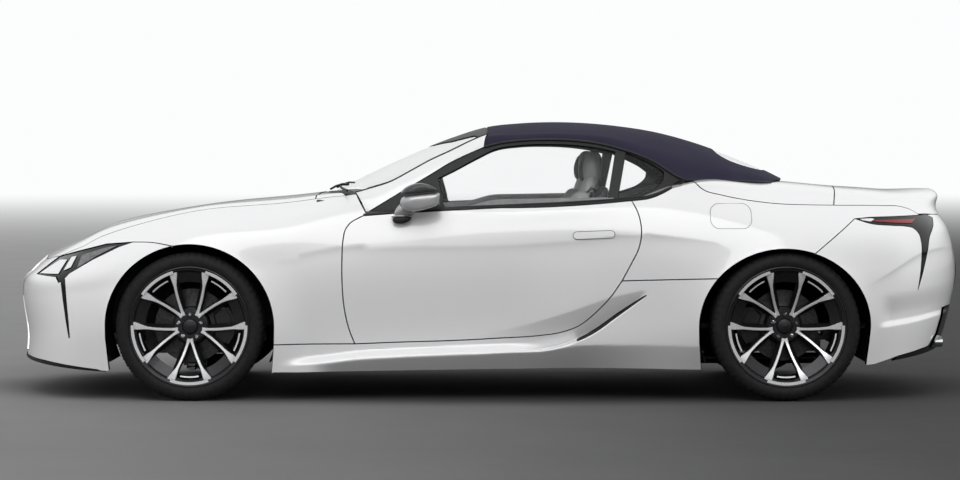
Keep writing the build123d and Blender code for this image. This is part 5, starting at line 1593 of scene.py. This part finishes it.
def make_cowl():
    """The panel below the windscreen and the wipers on it."""
    cowl = flat((-0.847, V_END), (-0.840, 1.38), (-0.747, 1.08), (-0.725, 1.02), (-0.690, 1.05), (-0.690, 1.40),
                (-0.700, V_END), (-0.847, V_END))
    panel("cowl_panel", join_outline(cowl), side="centre", gap=0.002, depth=0.010, lift=-0.006, **TRIM)
    reach = -0.36
    for y_pivot, name in ((-0.30, "left"), (0.34, "right")):
        arm = [(-0.800, y_pivot, 1.012), (-0.770, y_pivot - 0.06, 1.028), (-0.730, y_pivot + reach * 0.45, 1.040),
               (-0.700, y_pivot + reach * 0.8, 1.040)]
        pipe(f"wiper_arm_{name}", arm, 0.006, squash_by=(1.2, 0.8), **TRIM)
        blade = []
        for y in y_pivot + reach * 0.62 + np.linspace(-0.30, 0.30, 12):
            x, _, z = upper_point(-0.705 - 0.06 * (1 - (y / 0.75) ** 2), UPPER_END - abs(y) * 0.75)[0]
            blade.append((x, y, z + 0.014))
        pipe(f"wiper_blade_{name}", blade, 0.006, squash_by=(0.8, 1.2), **TRIM)


def make_exhaust():
    """Pipe, silencer, tips and the dark finishers around them."""
    edge = straight_on_side(((2.162, 0.236), (2.200, 0.306), (2.2165, 0.370), (2.236, 0.429)), 0.008)
    (low_u, low_v), (high_u, high_v) = edge[0], edge[-1]
    finisher = join_outline(
        edge, soft(edge[-1], (high_u + 0.05, high_v + 0.004), (high_u + 0.085, high_v - 0.02)),
        soft((high_u + 0.085, high_v - 0.02), (low_u + 0.16, low_v + 0.03), (low_u + 0.15, low_v)),
        flat((low_u + 0.15, low_v), edge[0]))
    panel("exhaust_finishers", finisher, "black_gloss", slot="black_trim", gap=0.0, depth=0.012, step=0.010,
          lift=0.008)
    front, _, bottom_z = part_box("exhaust")[0]
    duct = bottom_z + 0.030
    steel = {"material": "brake_steel", "body": "car_body", "slot": "bare_steel"}
    pipe("exhaust_pipe", [(front, 0, duct), (0.0, 0, duct), (1.78, 0, duct), (1.86, 0, 0.20), (1.92, 0, 0.245)],
         0.028, nodes=("exhaust",), sides=20, **steel)
    silencer = ((1.885, 0.215), (1.885, 0.322), (2.080, 0.322), (2.080, 0.225))
    solid_prism("exhaust_silencer", silencer, -0.56, 0.56, bevel=0.030, **steel)
    for side, name in side_names.items():
        for label, reach, radius, finish, slot in (("tip", 0.0, 0.034, "chrome", "bare_steel"),
                                                   ("bore", 0.002, 0.030, "liner", "underbody")):
            path = [(x, side * 0.500, 0.258) for x in (2.06, 2.226 + reach, 2.236 + reach)]
            pipe(f"exhaust_{label}_{name}", path, radius, finish, "car_body", slot, squash_by=(1.9, 0.8), sides=32)


CAD_FINISH = {
    "floor_pan": "underbody", "engine": "cast_metal", "front_subframe": "cast_metal", "rear_subframe": "cast_metal",
    "knuckle_left": "cast_metal", "knuckle_right": "cast_metal",
    "steering_column": "interior_dark", "steering_rack": "cast_metal",
}


def dress_frame():
    """Give the CAD nodes that stay in view their finishes."""
    for name, finish in CAD_FINISH.items():
        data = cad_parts[name].data
        data.materials.clear()
        data.materials.append(MATERIALS[finish])


def make_floor_material():
    """A pale floor with painted shade: a painted shadow darker under the car, and darker towards its tail and towards
    the camera, that fades to white far away.
    """
    tree, bsdf = new_material("studio_floor")
    place = object_place(tree)
    axes = tree.nodes.new("ShaderNodeSeparateXYZ")
    feed(tree, axes, {"Vector": place})
    # Painted shade: the floor's colour darkens towards the tail and towards the camera.
    painted_falloff = multiply(tree, span(tree, axes.outputs["X"], 0.21, 0.047, -3.2, 2.8, "SMOOTHSTEP"),
                     span(tree, axes.outputs["Y"], 1.0, 2.4, -3.0, 14.0))
    # Painted shadow: an oval under the car darkens the floor's colour.
    oval = add_node(tree, "Mapping", {"Scale": (1 / 2.35, 1 / 1.05, 0), "Vector": place})
    from_car = add_node(tree, "VectorMath", {0: oval}, "Value", operation="LENGTH")
    painted_shade = multiply(tree, painted_falloff, span(tree, from_car, 0.35, 1.0, 0.75, 1.25, "SMOOTHSTEP"))
    grain = ramp(tree, noise(tree, 1.5, 12.0, 0.7), ((0.3, (0.90, 0.90, 0.91)), (0.7, (1.0, 1.0, 1.0))))
    feed(tree, bsdf, {
        "Base Color": add_node(tree, "VectorMath", {"Vector": grain, "Scale": painted_shade}, operation="SCALE"),
        "Roughness": span(tree, noise(tree, 6.0), 0.7, 0.9), "Specular IOR Level": 0.05})
    bump(tree, bsdf, noise(tree, 40.0, 6.0), 0.25, 0.002)
    away = add_node(tree, "VectorMath", {0: place}, "Value", operation="LENGTH")
    glow = multiply(tree, span(tree, away, 0.0, 1.0, 14.0, 66.0, "SMOOTHSTEP"),
                    tree.nodes.new("ShaderNodeLightPath").outputs["Is Camera Ray"])
    white = add_node(tree, "Emission", {"Color": backdrop_white})
    blend = add_node(tree, "MixShader", {"Fac": glow, 1: bsdf.outputs["BSDF"], 2: white})
    feed(tree, tree.nodes["Material Output"], {"Surface": blend})


def make_world():
    """A white backdrop for the camera and a softer, darker dome for the light."""
    world = bpy.data.worlds.new("studio")
    world.use_nodes = True
    bpy.context.scene.world = world
    sky = world.node_tree
    paths = sky.nodes.new("ShaderNodeLightPath").outputs
    axes = sky.nodes.new("ShaderNodeSeparateXYZ")
    feed(sky, axes, {"Vector": add_node(sky, "TexCoord", {}, "Generated")})
    height = axes.outputs["Z"]
    direct = add_node(sky, "Math", {0: paths["Is Camera Ray"], 1: paths["Is Transmission Ray"]}, operation="MAXIMUM")
    glossy = multiply(sky, paths["Is Glossy Ray"], span(sky, height, 0.0, 1.0, 0.02, 0.30, "SMOOTHSTEP"))
    seen = add_node(sky, "Math", {0: direct, 1: glossy}, operation="MAXIMUM")
    dome = ramp(sky, height, ((0.0, (0.26, 0.26, 0.262)), (0.16, (0.44, 0.44, 0.442)),
                              (0.45, (0.56, 0.56, 0.565)), (1.0, (0.60, 0.60, 0.605))))
    colour = add_node(sky, "Mix", {"Factor": seen, "A": dome, "B": backdrop_white}, "Result", data_type="RGBA")
    feed(sky, sky.nodes["Background"], {"Color": colour})


# Light: place, aim, size and power.
LIGHTS = {
    "key": ((-0.8, -7.2, 6.2), (0, 0, 0.6), 7.0, 385),
    "nose": ((-8.5, -3.2, 2.6), (-2.0, 0, 0.5), 4.0, 150),
    "tail": ((9.0, -2.0, 2.4), (2.0, 0, 0.6), 4.0, 270),
    "back": ((0, 8.0, 5.0), (0, 0, 0.8), 6.0, 30),
}
backdrop_white = (0.975, 0.98, 0.985, 1)


def make_stage():
    """Camera, pale floor and backdrop, and soft studio light."""
    scene = bpy.context.scene
    lens = bpy.data.cameras.new("camera")
    camera = bpy.data.objects.new("camera", lens)
    scene.collection.objects.link(camera)
    camera.location = (-0.0496, -14.09, 1.205)
    camera.rotation_euler = (math.radians(90), 0, 0)
    lens.lens, lens.sensor_width, lens.shift_y, lens.clip_end = 102.7, 36, -0.0932, 500
    scene.camera = camera
    scene.view_settings.view_transform = "Standard"
    make_world()
    make_floor_material()
    bpy.ops.mesh.primitive_plane_add(size=420, location=(0, 0, -0.001))
    floor = bpy.context.object
    floor.name = "studio_floor"
    floor.data.materials.append(MATERIALS["studio_floor"])
    for name, (place, aim, size, power) in LIGHTS.items():
        light = bpy.data.lights.new(name, "AREA")
        light.energy, light.size = power, size
        lamp = bpy.data.objects.new(name, light)
        scene.collection.objects.link(lamp)
        lamp.location = place
        lamp.visible_glossy = name == "key"
        lamp.rotation_euler = (Vector(aim) - Vector(place)).to_track_quat("-Z", "Y").to_euler()


make_materials()
make_body()
for axle_name in WHEELS:
    for wheel_side in side_names:
        tyre(axle_name, wheel_side)
        wheel(axle_name, wheel_side)
make_upper()
make_mirrors()
make_lamps()
make_seats()
make_dashboard()
make_console()
make_door_cards()
make_quarter_trims()
make_steering_wheel()
make_wheel_housings()
make_cowl()
make_exhaust()
dress_frame()
make_stage()
